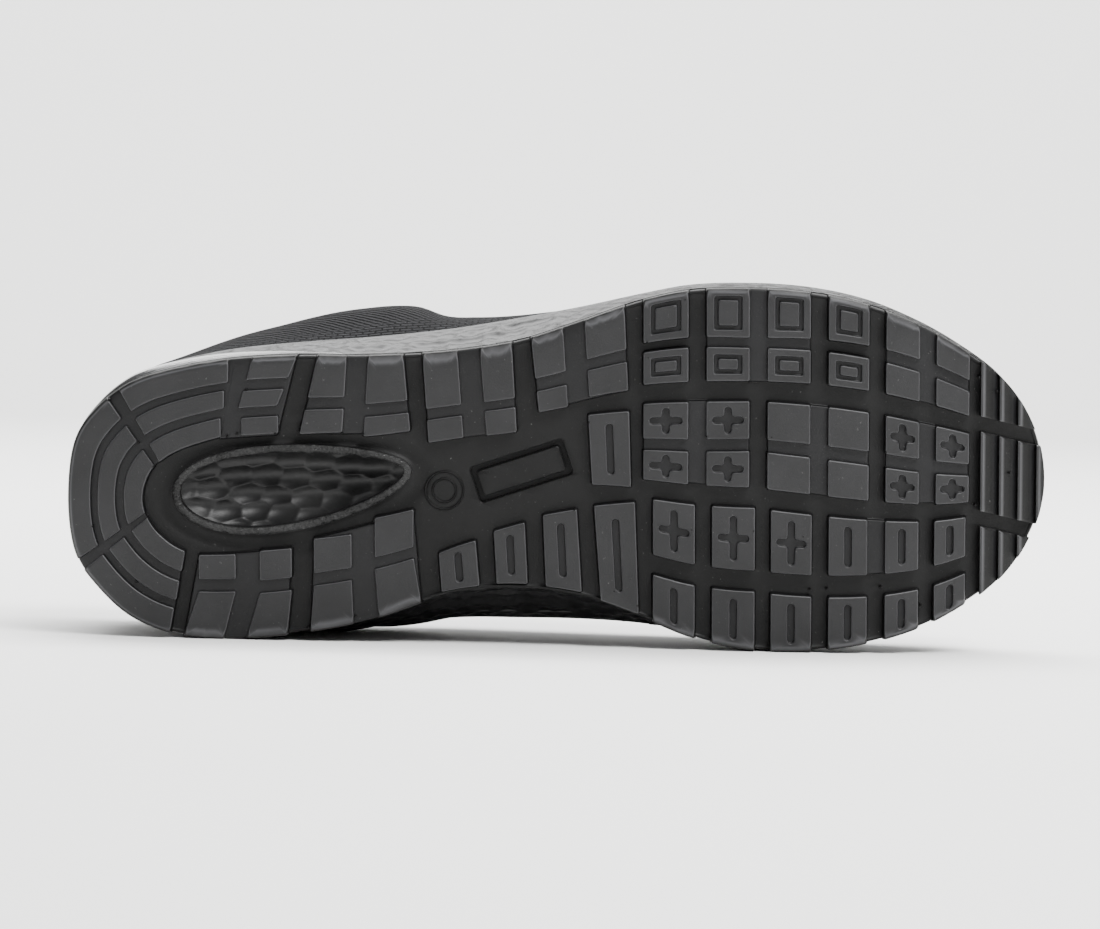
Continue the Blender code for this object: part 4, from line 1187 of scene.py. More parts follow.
def groove(item, name, points, faces, sharp=40.0):
    """Cuts a closed mesh out of a piece and bakes the cut into its mesh, so no cutter is left."""
    if volume(points, faces) < 0:
        faces = [face[::-1] for face in faces]
    mesh = bpy.data.meshes.new(name)
    mesh.from_pydata(to_world(points).tolist(), [], faces)
    cutter = bpy.data.objects.new(name, mesh)
    bpy.context.scene.collection.objects.link(cutter)
    step = item.modifiers.new(name, "BOOLEAN")
    step.operation = "DIFFERENCE"
    step.object = cutter
    step.solver = "EXACT"
    graph = bpy.context.evaluated_depsgraph_get()
    cut = bpy.data.meshes.new_from_object(item.evaluated_get(graph))
    item.modifiers.remove(step)
    item.data = cut
    bpy.data.objects.remove(cutter)
    cut.shade_smooth()
    cut.set_sharp_from_angle(angle=math.radians(sharp))
    print(f"{name}: {len(cut.polygons)} faces left in {item.name}")


PANEL_CORNER = 0.0010
MARK_SIDES = 96
MARK_RADII = (BUTTON_RADIUS, 0.62 * BUTTON_RADIUS)
MARK_PROFILE = ((0.45, 0.2), (0.35, -0.25), (0.1, -0.5), (-0.1, -0.5), (-0.35, -0.25), (-0.45, 0.2))
FRAME_PROFILE = ((-0.45, -0.20), (0.00, 0.25), (0.10, 2.10), (1.60, 2.10), (1.70, 0.25), (2.15, -0.20))
frame_rings = []
for inset, fall in FRAME_PROFILE:
    half_x, half_y = (half - inset * MM for half in PANEL_HALF)
    frame_plan = turned(round_box(half_x, half_y, PANEL_CORNER)[0], PANEL_TURN, PANEL_AT)
    frame_rings.append(raise_plan(frame_plan, LUG_DEPTH + fall * MM))
frame_faces = grid_faces(len(frame_rings), len(frame_rings[0]), closed_rows=True).tolist()
groove(tread_base, "panel_frame", np.concatenate(frame_rings), frame_faces)
mark_faces = grid_faces(len(MARK_PROFILE), MARK_SIDES, closed_rows=True).tolist()
mark_parts = []
for radius in MARK_RADII:
    mark_rings = []
    for out, depth in MARK_PROFILE:
        circle = turned(unit_circle(MARK_SIDES) * (radius + out * MM), 0.0, BUTTON_AT)
        mark_rings.append(raise_plan(circle, LUG_DEPTH + depth * MM))
    mark_parts.append((np.concatenate(mark_rings), mark_faces))
tread_piece("round_mark", *joined(mark_parts))

# %% [markdown]
# ## The midsole
# The foam's side flares out at the waist, carries a smooth raised band round the outer heel, and is
# hammered elsewhere: shallow dishes that meet in ridges.  A dish is the squared distance to the nearest of
# a set of scattered centres, so neighbouring dishes meet exactly where their distances are equal.

# %% Hammered dishes


def dishes(u, v, pitch_u, pitch_v, scatter, seed):
    """0 at the middle of each dish and 1 at its ridges, from the nearest centre of a staggered lattice."""
    best = np.full(np.broadcast(u, v).shape, 9.0)
    column = np.floor(u / pitch_u)
    row = np.floor(v / pitch_v)
    for di in (-1, 0, 1):
        for dj in (-1, 0, 1):
            i, j = column + di, row + dj
            shift = 0.5 * (j % 2)
            jump_u = np.modf(np.abs(np.sin(i * 12.99 + j * 78.23 + seed) * 4375.85))[0] - 0.5
            jump_v = np.modf(np.abs(np.sin(i * 39.35 + j * 11.13 + seed) * 2345.67))[0] - 0.5
            away_u = (u / pitch_u - (i + 0.5 + shift - 0.25 + scatter * jump_u))
            away_v = (v / pitch_v - (j + 0.5 + scatter * jump_v))
            best = np.minimum(best, away_u ** 2 + away_v ** 2)
    return np.clip(best / 0.45, 0, 1)


# %% [markdown]
# ## The midsole's skin
# The real side comes out of one mould with its band and its dishes.  Here rings climb it from the tread to
# the rim: each is pushed out where the band is and in where a dish is.  The rim then turns over and drops
# to the floor inside, and the first rings go round the recess over the heel's window.

# %% Midsole's side, rim and floor
FLARE = table("share flare", [
    (0, 0), (0.10, 0.04), (0.40, 0.34), (0.44, 0.42), (0.66, 0.72), (0.88, 0.97), (1, 1),
])
MIDSOLE_RING = 560
SIDE_ROWS = 40
FACET_DEPTH = 0.0012
DISH_PITCH = (6.2 * MM, 4.6 * MM)
RIM_PROFILE = ((0.15, -0.3), (0.5, 0.0), (1.2, 0.1), (2.0, 0.0), (2.4, -0.3))
RECESS_PROFILE = ((-0.004, 0.0155), (0.0015, 0.0155), (0.0015, LUG_DEPTH + BASE_THICKNESS + SEAM_GAP))

turns = ring_turns(MIDSOLE_RING)
foot = edge(turns)
flared = edge(turns, 1.0)
into = inward(flared)
low = tread_height(foot[:, 0]) + LUG_DEPTH + BASE_THICKNESS + SEAM_GAP
rim = RIM_HEIGHT * read(SOLE, "rim", turns)
along = foot[:, 0] / LENGTH
steps = np.linalg.norm(np.diff(flared, axis=0, append=flared[:1]), axis=1)
travelled = np.concatenate([[0], np.cumsum(steps)[:-1]])
shares = np.linspace(0, 1, SIDE_ROWS)
banded = np.where(turns < 0, np.clip((0.29 - along) / 0.21, 0, 1) * np.clip(along / 0.07, 0, 1), 0)
band_top = 0.10 + 0.32 * np.clip((0.29 - along) / 0.15, 0, 1)
rings = []
smooth_band = []
for share in shares:
    height = low + (rim - low) * share
    plan = foot + (flared - foot) * np.interp(share, FLARE["share"], FLARE["flare"])
    on_band = np.clip((band_top - share) / 0.05, 0, 1) * np.clip(share / 0.06, 0, 1) * (banded > 0)
    dish = dishes(travelled, height, *DISH_PITCH, 0.45, 1.0)
    calm = np.clip(share / 0.08, 0, 1) * np.clip((1 - share) / 0.10, 0, 1)
    push = BAND_STEP * banded * on_band - FACET_DEPTH * (1 - dish) * (1 - on_band) * calm
    rings.append(np.column_stack([plan - into * push[:, None], height]))
    smooth_band.append(on_band)
for inset, drop in RIM_PROFILE:
    rings.append(np.column_stack([flared + into * inset * MM, rim + drop * MM]))
inner = flared + into * RIM_WALL
floor_of = RIM_HEIGHT * read(SOLE, "rim", turn_of(inner[:, 0] / LENGTH)) - RIM_DEPTH
rings.append(np.column_stack([inner, floor_of]))

under = foot + inward(foot) * 1.0 * MM
angle = facing(under)
recess = [raise_plan(window_ring(grow, angle), depth) for grow, depth in RECESS_PROFILE]
recess += [raise_plan(plan, LUG_DEPTH + BASE_THICKNESS + SEAM_GAP)
           for plan in between_rings(angle, under, np.linspace(0, 1, 12))]
bare = np.zeros(MIDSOLE_RING)
# On the band the relief makes the foam glossier and paints it paler grey as a highlight.
band_gloss_and_highlight = np.concatenate([bare] * len(recess) + smooth_band + [bare] * (len(rings) - SIDE_ROWS))
rings = recess + rings
make_piece("midsole_foam", np.concatenate(rings), tube_faces(len(rings), MIDSOLE_RING), midsole_foam,
           "midsole_foam", "midsole", sharp=50, relief=band_gloss_and_highlight)

# %% [markdown]
# ## The hollow behind the window
# Through the heel's window the midsole's foam is seen, sunk like a bowl and hammered like its side.  The
# bowl is the window's own outline drawn in towards its middle, and a second skin behind it closes it.

# %% Hollow of the heel window
BOWL_RING = 288
BOWL_ROWS = 44
BOWL_WALL = 0.0015
HAMMER_DEPTH = 0.0016
HAMMER_PITCH = (9.6 * MM, 5.8 * MM)

angle = even_angles(BOWL_RING)
brink = window_ring(0.0012, angle)
heart = brink.mean(axis=0)
reach = np.linspace(1, 0.01, BOWL_ROWS)[:, None, None]
plan = heart + (brink - heart) * reach
drop = HOLLOW_DEPTH * (1 - reach[..., 0] ** 2.6)
# The dishes stand in slanting rows.
rows_u = plan[..., 0] + 0.35 * plan[..., 1]
rows_v = plan[..., 1] - 0.09 * plan[..., 0]
dish = dishes(rows_u, rows_v, *HAMMER_PITCH, 0.30, 7.0)
hammer = HAMMER_DEPTH * (0.6 - dish) * np.clip((1 - reach[..., 0]) / 0.12, 0, 1)
bowl = raise_plan(plan, LUG_DEPTH + BASE_THICKNESS + 0.1 * MM + drop + hammer)
rings = np.concatenate([bowl, bowl[::-1] + (0, 0, BOWL_WALL)])
faces = grid_faces(2 * BOWL_ROWS, BOWL_RING, closed_rows=True)
row = faces[:, 0] // BOWL_RING
faces = faces[row != BOWL_ROWS - 1].tolist()
faces += cap_faces((BOWL_ROWS - 1) * BOWL_RING, BOWL_RING)
faces += [face[::-1] for face in cap_faces(BOWL_ROWS * BOWL_RING, BOWL_RING)]
make_piece("heel_hollow", rings.reshape(-1, 3), faces, hollow_foam, "midsole_foam", "midsole", sharp=60)

# %% [markdown]
# ## The upper
# The knitted upper is one wall: up the outside from the midsole to the collar and throat, over a rounded
# lip and down the lining.  Each section is a quarter of a full ellipse, pushed out by a soft bulge.

# %% The upper's sections
COLLAR_HEIGHT = 0.098
WALL = 0.0025
COLLAR_PAD = 0.008
FULLNESS = 2.3
MOUTH_SHIFT = 0.01
# The bulges at the heel and the instep follow the photo's upper edge a little closer than the solid's.
UPPER = table("along mouth half top lateral_bulge medial_bulge belly pad", [
    (0.000, 0.043, 0.000, 1.000, 0.036, 0.036, 0.45, 0.8),
    (0.030, 0.052, 0.105, 0.990, 0.030, 0.032, 0.48, 0.9),
    (0.100, 0.095, 0.215, 0.940, 0.024, 0.032, 0.54, 1.0),
    (0.200, 0.185, 0.270, 0.885, 0.064, 0.062, 0.60, 1.0),
    (0.300, 0.285, 0.265, 0.885, 0.104, 0.084, 0.62, 1.0),
    (0.330, 0.315, 0.235, 0.917, 0.107, 0.085, 0.60, 0.9),
    (0.360, 0.345, 0.205, 0.950, 0.097, 0.084, 0.58, 0.8),
    (0.385, 0.364, 0.180, 0.972, 0.062, 0.068, 0.51, 0.5),
    (0.420, 0.390, 0.155, 0.985, 0.042, 0.048, 0.42, 0.2),
    (0.520, 0.470, 0.142, 0.930, 0.018, 0.030, 0.34, 0.0),
    (0.660, 0.560, 0.135, 0.855, 0.006, 0.012, 0.32, 0.0),
    (0.800, 0.630, 0.110, 0.790, 0.004, 0.006, 0.32, 0.0),
    (0.920, 0.668, 0.060, 0.762, 0.000, 0.000, 0.32, 0.0),
    (1.000, 0.680, 0.000, 0.755, 0.000, 0.000, 0.32, 0.0),
])
UPPER_RING = 400
UPPER_ROWS = 60
LINING_ROWS = 26


def foot_line(inset, count):
    """Where the upper meets the midsole, set in from the rim."""
    ring = edge(ring_turns(count), 1.0)
    return ring + inward(ring) * (RIM_WALL + SEAM_GAP + inset)


def floor_level(x):
    """Height of the midsole's floor inside the rim."""
    return RIM_HEIGHT * read(SOLE, "rim", turn_of(x / LENGTH)) - RIM_DEPTH


def upper_ring(rise, lining, count):
    """One ring of the upper at a share of the way from the sole to the mouth, or of its lining."""
    turns = ring_turns(count)
    wall = WALL if lining else 0.0
    foot = foot_line(wall, count)
    side = np.where(turns < 0, -1.0, 1.0)
    half = side * read(UPPER, "half", turns) * BALL_WIDTH
    mouth = np.stack([read(UPPER, "mouth", turns) * LENGTH, half + MOUTH_SHIFT * BALL_WIDTH], axis=1)
    low = floor_level(foot[:, 0]) + RIM_DEPTH + SEAM_GAP
    high = COLLAR_HEIGHT * read(UPPER, "top", turns) - wall
    angle = rise * math.pi / 2
    in_share = 1 - max(math.cos(angle), 0) ** (2 / FULLNESS)
    up_share = math.sin(angle) ** (2 / FULLNESS)
    bulge = by_side(UPPER, "lateral_bulge", "medial_bulge", turns) * BALL_WIDTH
    bulge = bulge - (COLLAR_PAD * read(UPPER, "pad", turns) if lining else 0)
    belly = math.log(0.5) / np.log(read(UPPER, "belly", turns))
    out = bulge * np.sin(math.pi * up_share ** belly)
    plan = foot + (mouth - foot) * in_share - inward(foot) * out[:, None]
    return np.column_stack([plan, low + (high - low) * up_share])


def facing_of(grid):
    """Unit vectors square to a closed grid: its differences along both ways, crossed."""
    along = np.roll(grid, -1, axis=1) - np.roll(grid, 1, axis=1)
    across = np.gradient(grid, axis=0)
    out = np.cross(along, across)
    return out / np.maximum(np.linalg.norm(out, axis=2, keepdims=True), 1e-12)


# Soft creases, in metres on the shoe: the middle, the way it runs, half length, half width and depth.
CREASES = (
    ((0.206, 0.004, 0.073), (0.10, 1.0, 0.0), 0.026, 0.0040, 0.0011),
    ((0.221, -0.006, 0.070), (-0.06, 1.0, 0.0), 0.022, 0.0036, 0.0009),
    ((0.030, -0.024, 0.078), (1.0, 0.0, 0.25), 0.018, 0.0042, 0.0006),
    ((0.085, -0.030, 0.080), (0.8, 0.0, -0.6), 0.014, 0.0044, 0.0006),
    ((0.088, 0.046, 0.060), (0.8, 0.0, -0.6), 0.020, 0.0046, 0.0010),
    ((0.012, 0.006, 0.066), (0.0, 1.0, 0.1), 0.018, 0.0040, 0.0007),
)


def creased(grid):
    """Pushes the skin in along each crease: a trough with a lower ridge beside it, faded at both ends."""
    out = facing_of(grid)
    push = np.zeros(grid.shape[:2])
    for middle, way, half_length, half_width, depth in CREASES:
        away = grid - np.array(middle)
        way = np.array(way) / np.linalg.norm(way)
        along = away @ way
        beside = np.cross(out, way)
        beside = beside / np.maximum(np.linalg.norm(beside, axis=2, keepdims=True), 1e-9)
        beside = np.einsum("rki,rki->rk", away, beside)
        close = np.exp(-(np.linalg.norm(away, axis=2) / (1.6 * half_length)) ** 4)
        trough = np.exp(-(beside / half_width) ** 2) - 0.5 * np.exp(-(beside / half_width - 1.7) ** 2)
        push += depth * trough * close * np.exp(-(along / half_length) ** 2)
    return grid - out * push[:, :, None]


def grid_uv(u, v, faces, count):
    """The map of a grid's corners, as u runs round each ring and v from ring to ring."""
    row, k = faces[:, 0] // count, faces[:, 0] % count
    corners = ((0, 0), (1, 0), (1, 1), (0, 1))
    return list(np.stack([np.stack([u[k + a], v[row + b]], axis=-1) for a, b in corners], axis=1))


outside = [upper_ring(rise, False, UPPER_RING) for rise in np.linspace(0, 1, UPPER_ROWS)]
inside = [upper_ring(rise, True, UPPER_RING) for rise in np.linspace(0, 1, LINING_ROWS)]
for rings in (outside, inside):
    buried = rings[0].copy()
    buried[:, 2] -= RIM_DEPTH
    rings.insert(0, buried)
skin = np.stack(outside)
skin[1:] = creased(skin[1:])
lining = np.stack(inside)
rim_out, rim_in = skin[-1], lining[-1]
lip = []
for share in (0.2, 0.5, 0.8):
    middle = rim_out + (rim_in - rim_out) * share
    middle[:, 2] += 0.0009 * math.sin(math.pi * share)
    lip.append(middle)
rings = np.concatenate([skin, np.stack(lip), lining[::-1]])
rows, count, _ = rings.shape
faces = grid_faces(rows, count, closed_rows=True)
waist_ring = rings[UPPER_ROWS // 2]
around = np.linalg.norm(np.diff(waist_ring, axis=0, append=waist_ring[:1]), axis=1)
u = np.concatenate([[0], np.cumsum(around)])
climb = np.linalg.norm(np.diff(rings, axis=0), axis=2).mean(axis=1)
v = np.concatenate([[0], np.cumsum(climb), [0]])
upper = make_piece("upper_knit", rings.reshape(-1, 3), faces.tolist(), upper_knit, "upper_knit", "upper",
                   sharp=60, uv=grid_uv(u, v, faces, count))

# %% [markdown]
# ## Insole
# A sheet of foam, cut to the inside of the upper's foot and covered with brushed cloth.  The photo doesn't
# show it, so it is plain: the foot's own outline, set in and raised in five steps for a soft edge.

# %% Insole
INSOLE_RING = 240
INSOLE_PROFILE = ((0.3, 0.0), (0.0, 0.4), (0.1, 2.6), (0.5, 3.5), (1.2, 4.0))
plan = foot_line(WALL + SEAM_GAP, INSOLE_RING)
base_level = floor_level(plan[:, 0]) + SEAM_GAP
rings = []
for inset, rise in INSOLE_PROFILE:
    ring = plan + inward(plan) * inset * MM
    rings.append(np.column_stack([ring, base_level + rise * MM]))
make_piece("insole_sheet", np.concatenate(rings), tube_faces(len(rings), INSOLE_RING), insole_cloth,
           "insole_foam", "insole")

# %% [markdown]
# ## Tongue
# A padded leaf of knit under the throat, thick in the middle and thin at its sides.  It is a tube of flat
# ellipses along the throat's slope, with a free top that curls up.

# %% Tongue
TONGUE = table("along half", [
    (0.280, 0.125), (0.300, 0.152), (0.340, 0.155), (0.400, 0.172), (0.480, 0.205), (0.580, 0.190),
    (0.660, 0.160), (0.705, 0.130),
])
TONGUE_THICKNESS = 0.005
TONGUE_SAG = 0.006
TONGUE_CURL = 0.004
TONGUE_BEND = 0.40
TONGUE_FREE = 0.12
TONGUE_SLOPE = 0.25
TONGUE_THINNING = 0.6
TONGUE_ROWS = 90
TONGUE_RING = 72


def throat_height(x):
    """Height of the throat's edge along the shoe; ahead of the throat it stays level."""
    order = np.argsort(UPPER["mouth"])
    front = UPPER["mouth"][order] > 0.38
    return COLLAR_HEIGHT * smooth(UPPER["mouth"][order][front], UPPER["top"][order][front], x / LENGTH)


along = np.linspace(TONGUE["along"][0], TONGUE["along"][-1], TONGUE_ROWS)
half = np.interp(along, TONGUE["along"], TONGUE["half"])
around = even_angles(TONGUE_RING)
across = np.cos(around)
free = np.clip(TONGUE_BEND - along, 0, None)
top = throat_height(along * LENGTH) - WALL - 3 * SEAM_GAP
top = top + free * LENGTH * TONGUE_SLOPE + TONGUE_CURL * (free / TONGUE_FREE) ** 2
thick = TONGUE_THICKNESS * (1 - TONGUE_THINNING * across ** 2)
end = np.minimum(along - along[0], along[-1] - along)
round_end = np.sqrt(np.clip(end / 0.012, 0.02, 1))
y = (across[None, :] * half[:, None] * (0.7 + 0.3 * round_end[:, None]) + MOUTH_SHIFT) * BALL_WIDTH
middle = top[:, None] - TONGUE_SAG * across[None, :] ** 2 - thick[None, :] / 2
z = middle + np.sin(around)[None, :] * thick[None, :] / 2 * round_end[:, None]
x = np.broadcast_to(along[:, None] * LENGTH, z.shape)
points = np.stack([x, y, z], axis=-1).reshape(-1, 3)
faces = tube_faces(TONGUE_ROWS, TONGUE_RING)
# The map is the leaf seen from above: across the shoe and along it.
tongue = make_piece("tongue_leaf", points, faces, tongue_knit, "tongue_knit", "tongue",
                    uv=[points[face][:, 1::-1] for face in faces])

# %% [markdown]
# ## Eyelets and lace
# Twelve holes are cut through the knit, and each has a stitched ring.  The lace is one flat woven tape: a bar
# over the front pair, then crossings that come up through each next pair from below, over and under in turn.
# It stops in the top pair, where a wearer's bow would start.

# %% Eyelet holes and rings
EYELETS = (0.615, 0.570, 0.525, 0.480, 0.435, 0.392)
EYELET_OUT = 0.045
HOLE_RADIUS = 0.0026
THREAD_RADIUS = 0.0008
STITCHES = 28
RING_SEGMENTS = 168
THREAD_SIDES = 12
PLUG_SIDES = 48
PLUG_ENDS = (-0.0075, 0.0040)
THROAT_DROP = 0.012
outer_skin = BVHTree.FromPolygons(skin.reshape(-1, 3).tolist(), grid_faces(len(skin), UPPER_RING).tolist())


def eyelet(row, side):
    """Plan point of an eyelet, at its place beside the throat's edge."""
    order = np.argsort(UPPER["mouth"])
    half = np.ravel(smooth(UPPER["mouth"][order], UPPER["half"][order], EYELETS[row]))[0]
    across = side * (half + EYELET_OUT) + MOUTH_SHIFT
    return np.array([EYELETS[row] * LENGTH, across * BALL_WIDTH])


def throat_level(x):
    """Height of the throat's edge at one place."""
    return float(np.ravel(throat_height(x))[0])


def on_skin(plan):
    """Height of the skin under a plan point and the way it faces; over the throat, its edge's height."""
    hit, way, _, _ = outer_skin.ray_cast(Vector((plan[0], plan[1], 2 * COLLAR_HEIGHT)), Vector((0, 0, -1)))
    if hit is None or hit.z < throat_level(plan[0]) - THROAT_DROP:
        return throat_level(plan[0]), np.array([0.0, 0.0, 1.0])
    return hit.z, np.array(way) * (1 if way.z > 0 else -1)


def round_frame(plan):
    """A centre on the skin, the way out of it and two unit vectors along it, for a ring or hole there."""
    height, out = on_skin(plan)
    first = np.cross(out, (0.0, 1.0, 0.0))
    first /= np.linalg.norm(first)
    return np.array([*plan, height]), out, first, np.cross(out, first)


def hole_plug(plan):
    """A short cylinder through the wall, square to the skin."""
    centre, out, first, second = round_frame(plan)
    angle = even_angles(PLUG_SIDES)
    circle = np.cos(angle)[:, None] * first + np.sin(angle)[:, None] * second
    points = np.concatenate([centre + HOLE_RADIUS * circle + out * depth for depth in PLUG_ENDS])
    return points, tube_faces(2, PLUG_SIDES)


def thread_ring(plan):
    """A ring of thread round the hole: a torus whose thickness ripples once for each stitch."""
    centre, out, first, second = round_frame(plan)
    angle = even_angles(RING_SEGMENTS)
    circle = np.cos(angle)[:, None] * first + np.sin(angle)[:, None] * second
    around = even_angles(THREAD_SIDES)
    thread = THREAD_RADIUS * (1 + 0.12 * np.cos(STITCHES * angle))
    reach = HOLE_RADIUS + THREAD_RADIUS + thread[None, :] * np.cos(around)[:, None]
    rise = thread[None, :] * np.sin(around)[:, None]
    points = centre + reach[:, :, None] * circle[None] + (rise[:, :, None] + 0.0002) * out
    return points.reshape(-1, 3), grid_faces(THREAD_SIDES, RING_SEGMENTS, closed_rows=True).tolist()


places = [eyelet(row, side) for row in range(len(EYELETS)) for side in (-1, 1)]
groove(upper, "eyelet_holes", *joined([hole_plug(plan) for plan in places]), sharp=60)
make_piece("eyelet_rings", *joined([thread_ring(plan) for plan in places]), eyelet_thread,
           "upper_knit", "upper", sharp=80)

# %% [markdown]
# ## The lace's way
# A real lace is one woven tape, pulled through the holes.  Here stops are set one by one along its way, each
# with a height over the skin or the throat, the way its width lies and its width, since the tape folds
# narrow in a hole.  One smooth curve runs through the stops, and a flat ring is drawn along it.

# %% Lace
LACE_WIDTH = 0.0065
LACE_THICKNESS = 0.0013
LACE_NARROW = 0.62
LACE_STEP = 0.0007
LACE_RING = 20
LACE_FOLDED = 0.85
PATH_SAMPLES = 24
UNDER_WALL = WALL + 0.0013
OVER_RING = 0.0018
SLOPE_REACH = 0.003
# The bar over the front pair: shares of its way, heights over the skin in metres, and shares of the width.
FRONT_BAR = (
    (0.00, -0.0010, LACE_NARROW), (0.02, 0.0012, LACE_NARROW), (0.10, OVER_RING, LACE_FOLDED),
    (0.20, 0.0012, 1.0), (0.50, 0.0008, 1.0), (0.80, 0.0012, 1.0), (0.90, OVER_RING, LACE_FOLDED),
    (0.98, 0.0012, LACE_NARROW), (1.00, -0.0010, LACE_NARROW),
)


def stop(plan, height, beside, share=1.0):
    """A stop on the lace's path: its place, the way its width lies and its share of the full width."""
    slope = (throat_level(plan[0] + SLOPE_REACH) - throat_level(plan[0] - SLOPE_REACH)) / (2 * SLOPE_REACH)
    wide = np.array([beside[0], beside[1], slope * beside[0]])
    return np.concatenate([plan, [height], wide / np.linalg.norm(wide), [share]])


def crossing(row, side, over):
    """Stops from one eyelet to the next on the other side: out of the first, across, and up from below."""
    start, end = eyelet(row, side), eyelet(row + 1, -side)
    way = (end - start) / np.linalg.norm(end - start)
    beside = np.array([-way[1], way[0]]) * np.sign(-way[1])
    reach = np.linalg.norm(end - start)
    flap = EYELET_OUT * BALL_WIDTH
    stops = []
    if row == 0:
        stops.append(stop(start + way * 0.002, on_skin(start)[0] - UNDER_WALL, beside, LACE_NARROW))
        stops.append(stop(start + way * flap * 1.1, throat_level(start[0]) - UNDER_WALL - 0.0006, beside))
    else:
        stops.append(stop(start + way * 0.0006, on_skin(start)[0] + 0.0011, beside, LACE_NARROW))
        near = start + way * 0.0034
        stops.append(stop(near, on_skin(near)[0] + OVER_RING, beside, LACE_FOLDED))
        edge_spot = start + way * flap * 1.15
        stops.append(stop(edge_spot, throat_level(edge_spot[0]) + 0.0012, beside))
    middle = start + way * reach / 2
    stops.append(stop(middle, throat_level(middle[0]) - 0.0014 + (0.0008 if over else -0.0008), beside))
    far = end - way * flap * 1.1
    stops.append(stop(far, throat_level(far[0]) - UNDER_WALL - 0.0006, beside))
    stops.append(stop(end - way * 0.0024, on_skin(end)[0] - UNDER_WALL, beside, LACE_NARROW))
    stops.append(stop(end, on_skin(end)[0] - 0.0010, beside, LACE_NARROW))
    return stops


def half_lace(side):
    """Stops of one half, from the front bar's end to the top eyelet."""
    stops = []
    for row in range(len(EYELETS) - 1):
        stops += crossing(row, side * (-1) ** row, over=(row % 2 == 0) == (side > 0))
    return stops


def front_bar():
    """Stops of the straight bar over the front pair, down into both of its eyelets."""
    beside = np.array([1.0, 0.0])
    left, right_end = eyelet(0, -1), eyelet(0, 1)
    stops = []
    for share, rise, width in FRONT_BAR:
        plan = left + (right_end - left) * share
        stops.append(stop(plan, on_skin(plan)[0] + rise, beside, width))
    return stops


def smooth_path(stops, step):
    """A Catmull-Rom curve through the stops, in even steps along its length."""
    ends = np.concatenate([[2 * stops[0] - stops[1]], stops, [2 * stops[-1] - stops[-2]]])
    share = np.linspace(0, 1, PATH_SAMPLES, endpoint=False)[:, None]
    a, b, c, d = (ends[k:len(ends) - 3 + k][:, None, :] for k in range(4))
    curve = 0.5 * (2 * b + (c - a) * share + (2 * a - 5 * b + 4 * c - d) * share ** 2
                   + (3 * b - a - 3 * c + d) * share ** 3)
    curve = np.concatenate([curve.reshape(-1, stops.shape[1]), stops[-1:]])
    run = np.concatenate([[0], np.cumsum(np.linalg.norm(np.diff(curve[:, :3], axis=0), axis=1))])
    at = np.linspace(0, run[-1], round(run[-1] / step))
    return np.stack([np.interp(at, run, column) for column in curve.T], axis=1), at


stops = np.array(half_lace(-1)[::-1] + front_bar() + half_lace(1))
path, at = smooth_path(stops, LACE_STEP)
tangent = np.gradient(path[:, :3], axis=0)
tangent /= np.linalg.norm(tangent, axis=1, keepdims=True)
wide = path[:, 3:6] - tangent * np.einsum("ri,ri->r", path[:, 3:6], tangent)[:, None]
wide /= np.linalg.norm(wide, axis=1, keepdims=True)
thick = np.cross(tangent, wide)
around = even_angles(LACE_RING)
flat_x = np.sign(np.cos(around)) * np.abs(np.cos(around)) ** 0.5 * LACE_WIDTH / 2
flat_y = np.sign(np.sin(around)) * np.abs(np.sin(around)) ** 0.8 * LACE_THICKNESS / 2
points = (path[:, None, :3] + wide[:, None] * (flat_x[None, :] * path[:, 6:7])[:, :, None]
          + thick[:, None] * flat_y[None, :, None])
faces = grid_faces(len(path), LACE_RING)
rim_run = np.hypot(np.diff(flat_x, append=flat_x[:1]), np.diff(flat_y, append=flat_y[:1]))
lace_uv = grid_uv(np.concatenate([[0], np.cumsum(rim_run)]), at, faces, LACE_RING)
ends = [face[::-1] for face in cap_faces(0, LACE_RING)] + cap_faces((len(path) - 1) * LACE_RING, LACE_RING)
make_piece("lace_tape", points.reshape(-1, 3), faces.tolist() + ends, lace_weave, "lace_polyester", "lace",
           sharp=60, uv=lace_uv + [np.zeros((len(face), 2)) for face in ends])
print(f"lace: {at[-1]:.3f} m long")

# %% [markdown]
# ## Camera
# The photo looks almost straight at the tread, 6 degrees from above, so a strip of the outer side shows.
# The camera is placed in the shoe's own frame, and its lens is shifted so that one known point of the tread
# falls on its pixel.

# %% Camera
CAMERA_TILT = math.radians(6)
CAMERA_REACH = 1.5
LOOK_AT = np.array([0.150, 0.0, 0.0])
FRAME_WIDTH_PX = 1100
FOCAL_PX = 4875
LOOK_PX = (553.5, 490.0)
FRAME_MIDDLE_PX = (550.0, 464.5)
right = np.array([1.0, 0.0, 0.0])
up = np.array([0.0, -math.cos(CAMERA_TILT), math.sin(CAMERA_TILT)])
back = np.cross(right, up)
camera_data = bpy.data.cameras.new("camera")
camera = bpy.data.objects.new("camera", camera_data)
bpy.context.scene.collection.objects.link(camera)
axes = TURN @ np.stack([right, up, back], axis=1)
spot = to_world(LOOK_AT + back * CAMERA_REACH)
camera.matrix_world = Matrix.Translation(spot.tolist()) @ Matrix(axes.tolist()).to_4x4()
camera_data.sensor_width = 36.0
camera_data.lens = FOCAL_PX / FRAME_WIDTH_PX * camera_data.sensor_width
camera_data.shift_x = (FRAME_MIDDLE_PX[0] - LOOK_PX[0]) / FRAME_WIDTH_PX
camera_data.shift_y = (LOOK_PX[1] - FRAME_MIDDLE_PX[1]) / FRAME_WIDTH_PX
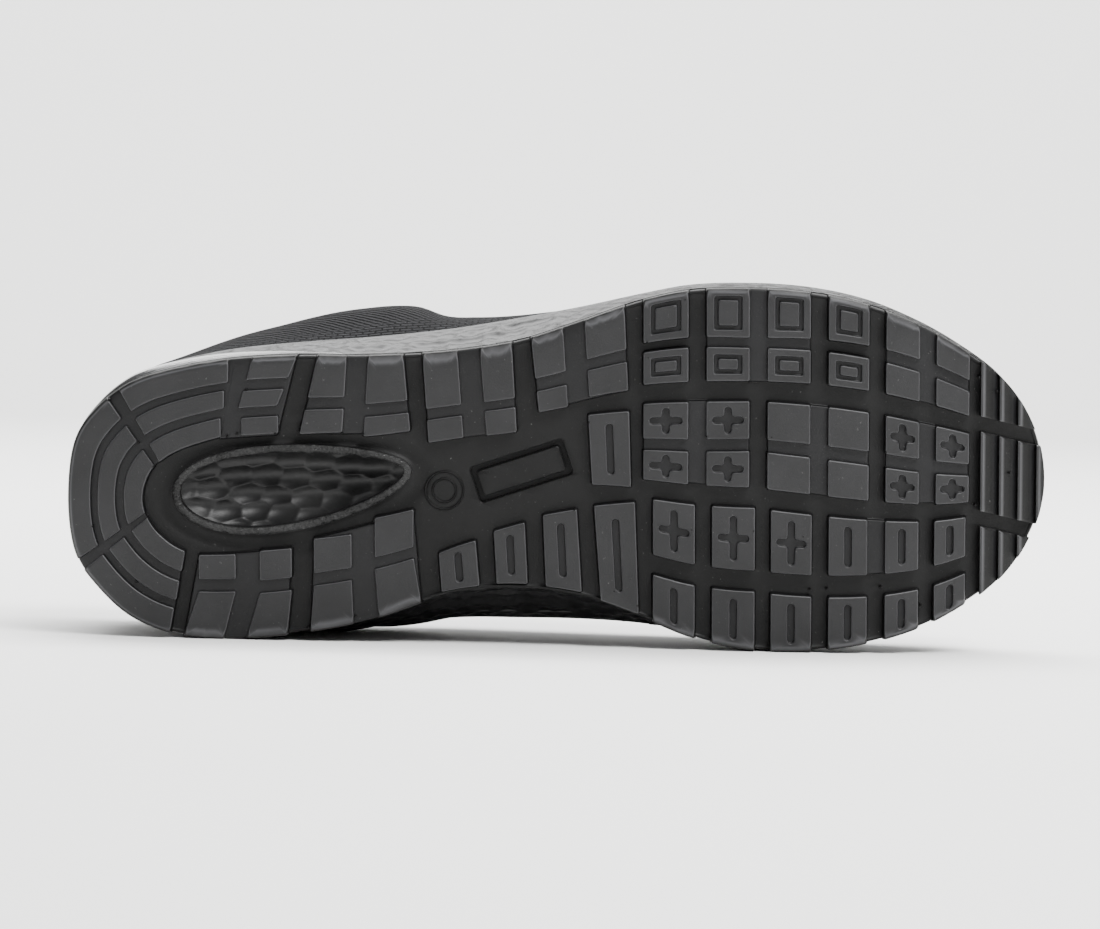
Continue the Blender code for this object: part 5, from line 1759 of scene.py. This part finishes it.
bpy.context.scene.camera = camera
print("camera at (m):", spot.round(3))

# %% [markdown]
# ## Paper and lamps
# The shoe lies on a roll of pale paper that curves up behind it.  A broad lamp overhead, a weaker key from
# the camera's side and one on the paper behind give the soft, even light of a product photo.

# %% Floor and light


def soft_light(name, spot, aim, size, power):
    """A square soft light at a spot, turned to face another."""
    data = bpy.data.lights.new(name, "AREA")
    data.shape = "RECTANGLE"
    data.size, data.size_y = size
    data.energy = power
    lamp = bpy.data.objects.new(name, data)
    away = Matrix.Translation(spot).translation - Matrix.Translation(aim).translation
    lamp.rotation_euler = away.to_track_quat("Z", "Y").to_euler()
    lamp.location = spot
    bpy.context.scene.collection.objects.link(lamp)
    return lamp


paper, tree, shader = start_finish("paper_matte", "#f1f1f0", Roughness=0.9)
sweep = np.linspace(0, math.pi / 2, 17)
profile = np.concatenate([
    [(-4.0, 0.0)], np.stack([3.2 + 0.8 * np.sin(sweep), 0.8 - 0.8 * np.cos(sweep)], axis=1), [(4.0, 4.0)],
])
sides = np.array([[-5.0, 5.0]])
points = np.stack(np.broadcast_arrays(sides, profile[:, :1], profile[:, 1:]), axis=-1)
mesh = bpy.data.meshes.new("paper_floor")
mesh.from_pydata(points.reshape(-1, 3).tolist(), [], grid_faces(len(profile), 2, closed_ring=False).tolist())
mesh.shade_smooth()
mesh.materials.append(paper)
floor = bpy.data.objects.new("paper_floor", mesh)
bpy.context.scene.collection.objects.link(floor)

soft_light("overhead", (0.2, 0.45, 1.4), (0.0, 0.0, 0.05), (2.0, 1.0), 60.0)
soft_light("backdrop", (0.0, 1.2, 2.4), (0.0, 3.4, 0.9), (3.0, 1.0), 260.0)
soft_light("key", (0.7, -1.0, 1.3), (0.0, 0.0, 0.06), (0.9, 0.7), 55.0)
world = bpy.data.worlds.new("studio")
bpy.context.scene.world = world
world.use_nodes = True
world.node_tree.nodes["Background"].inputs["Color"].default_value = (1.0, 1.0, 1.0, 1.0)
world.node_tree.nodes["Background"].inputs["Strength"].default_value = 0.5
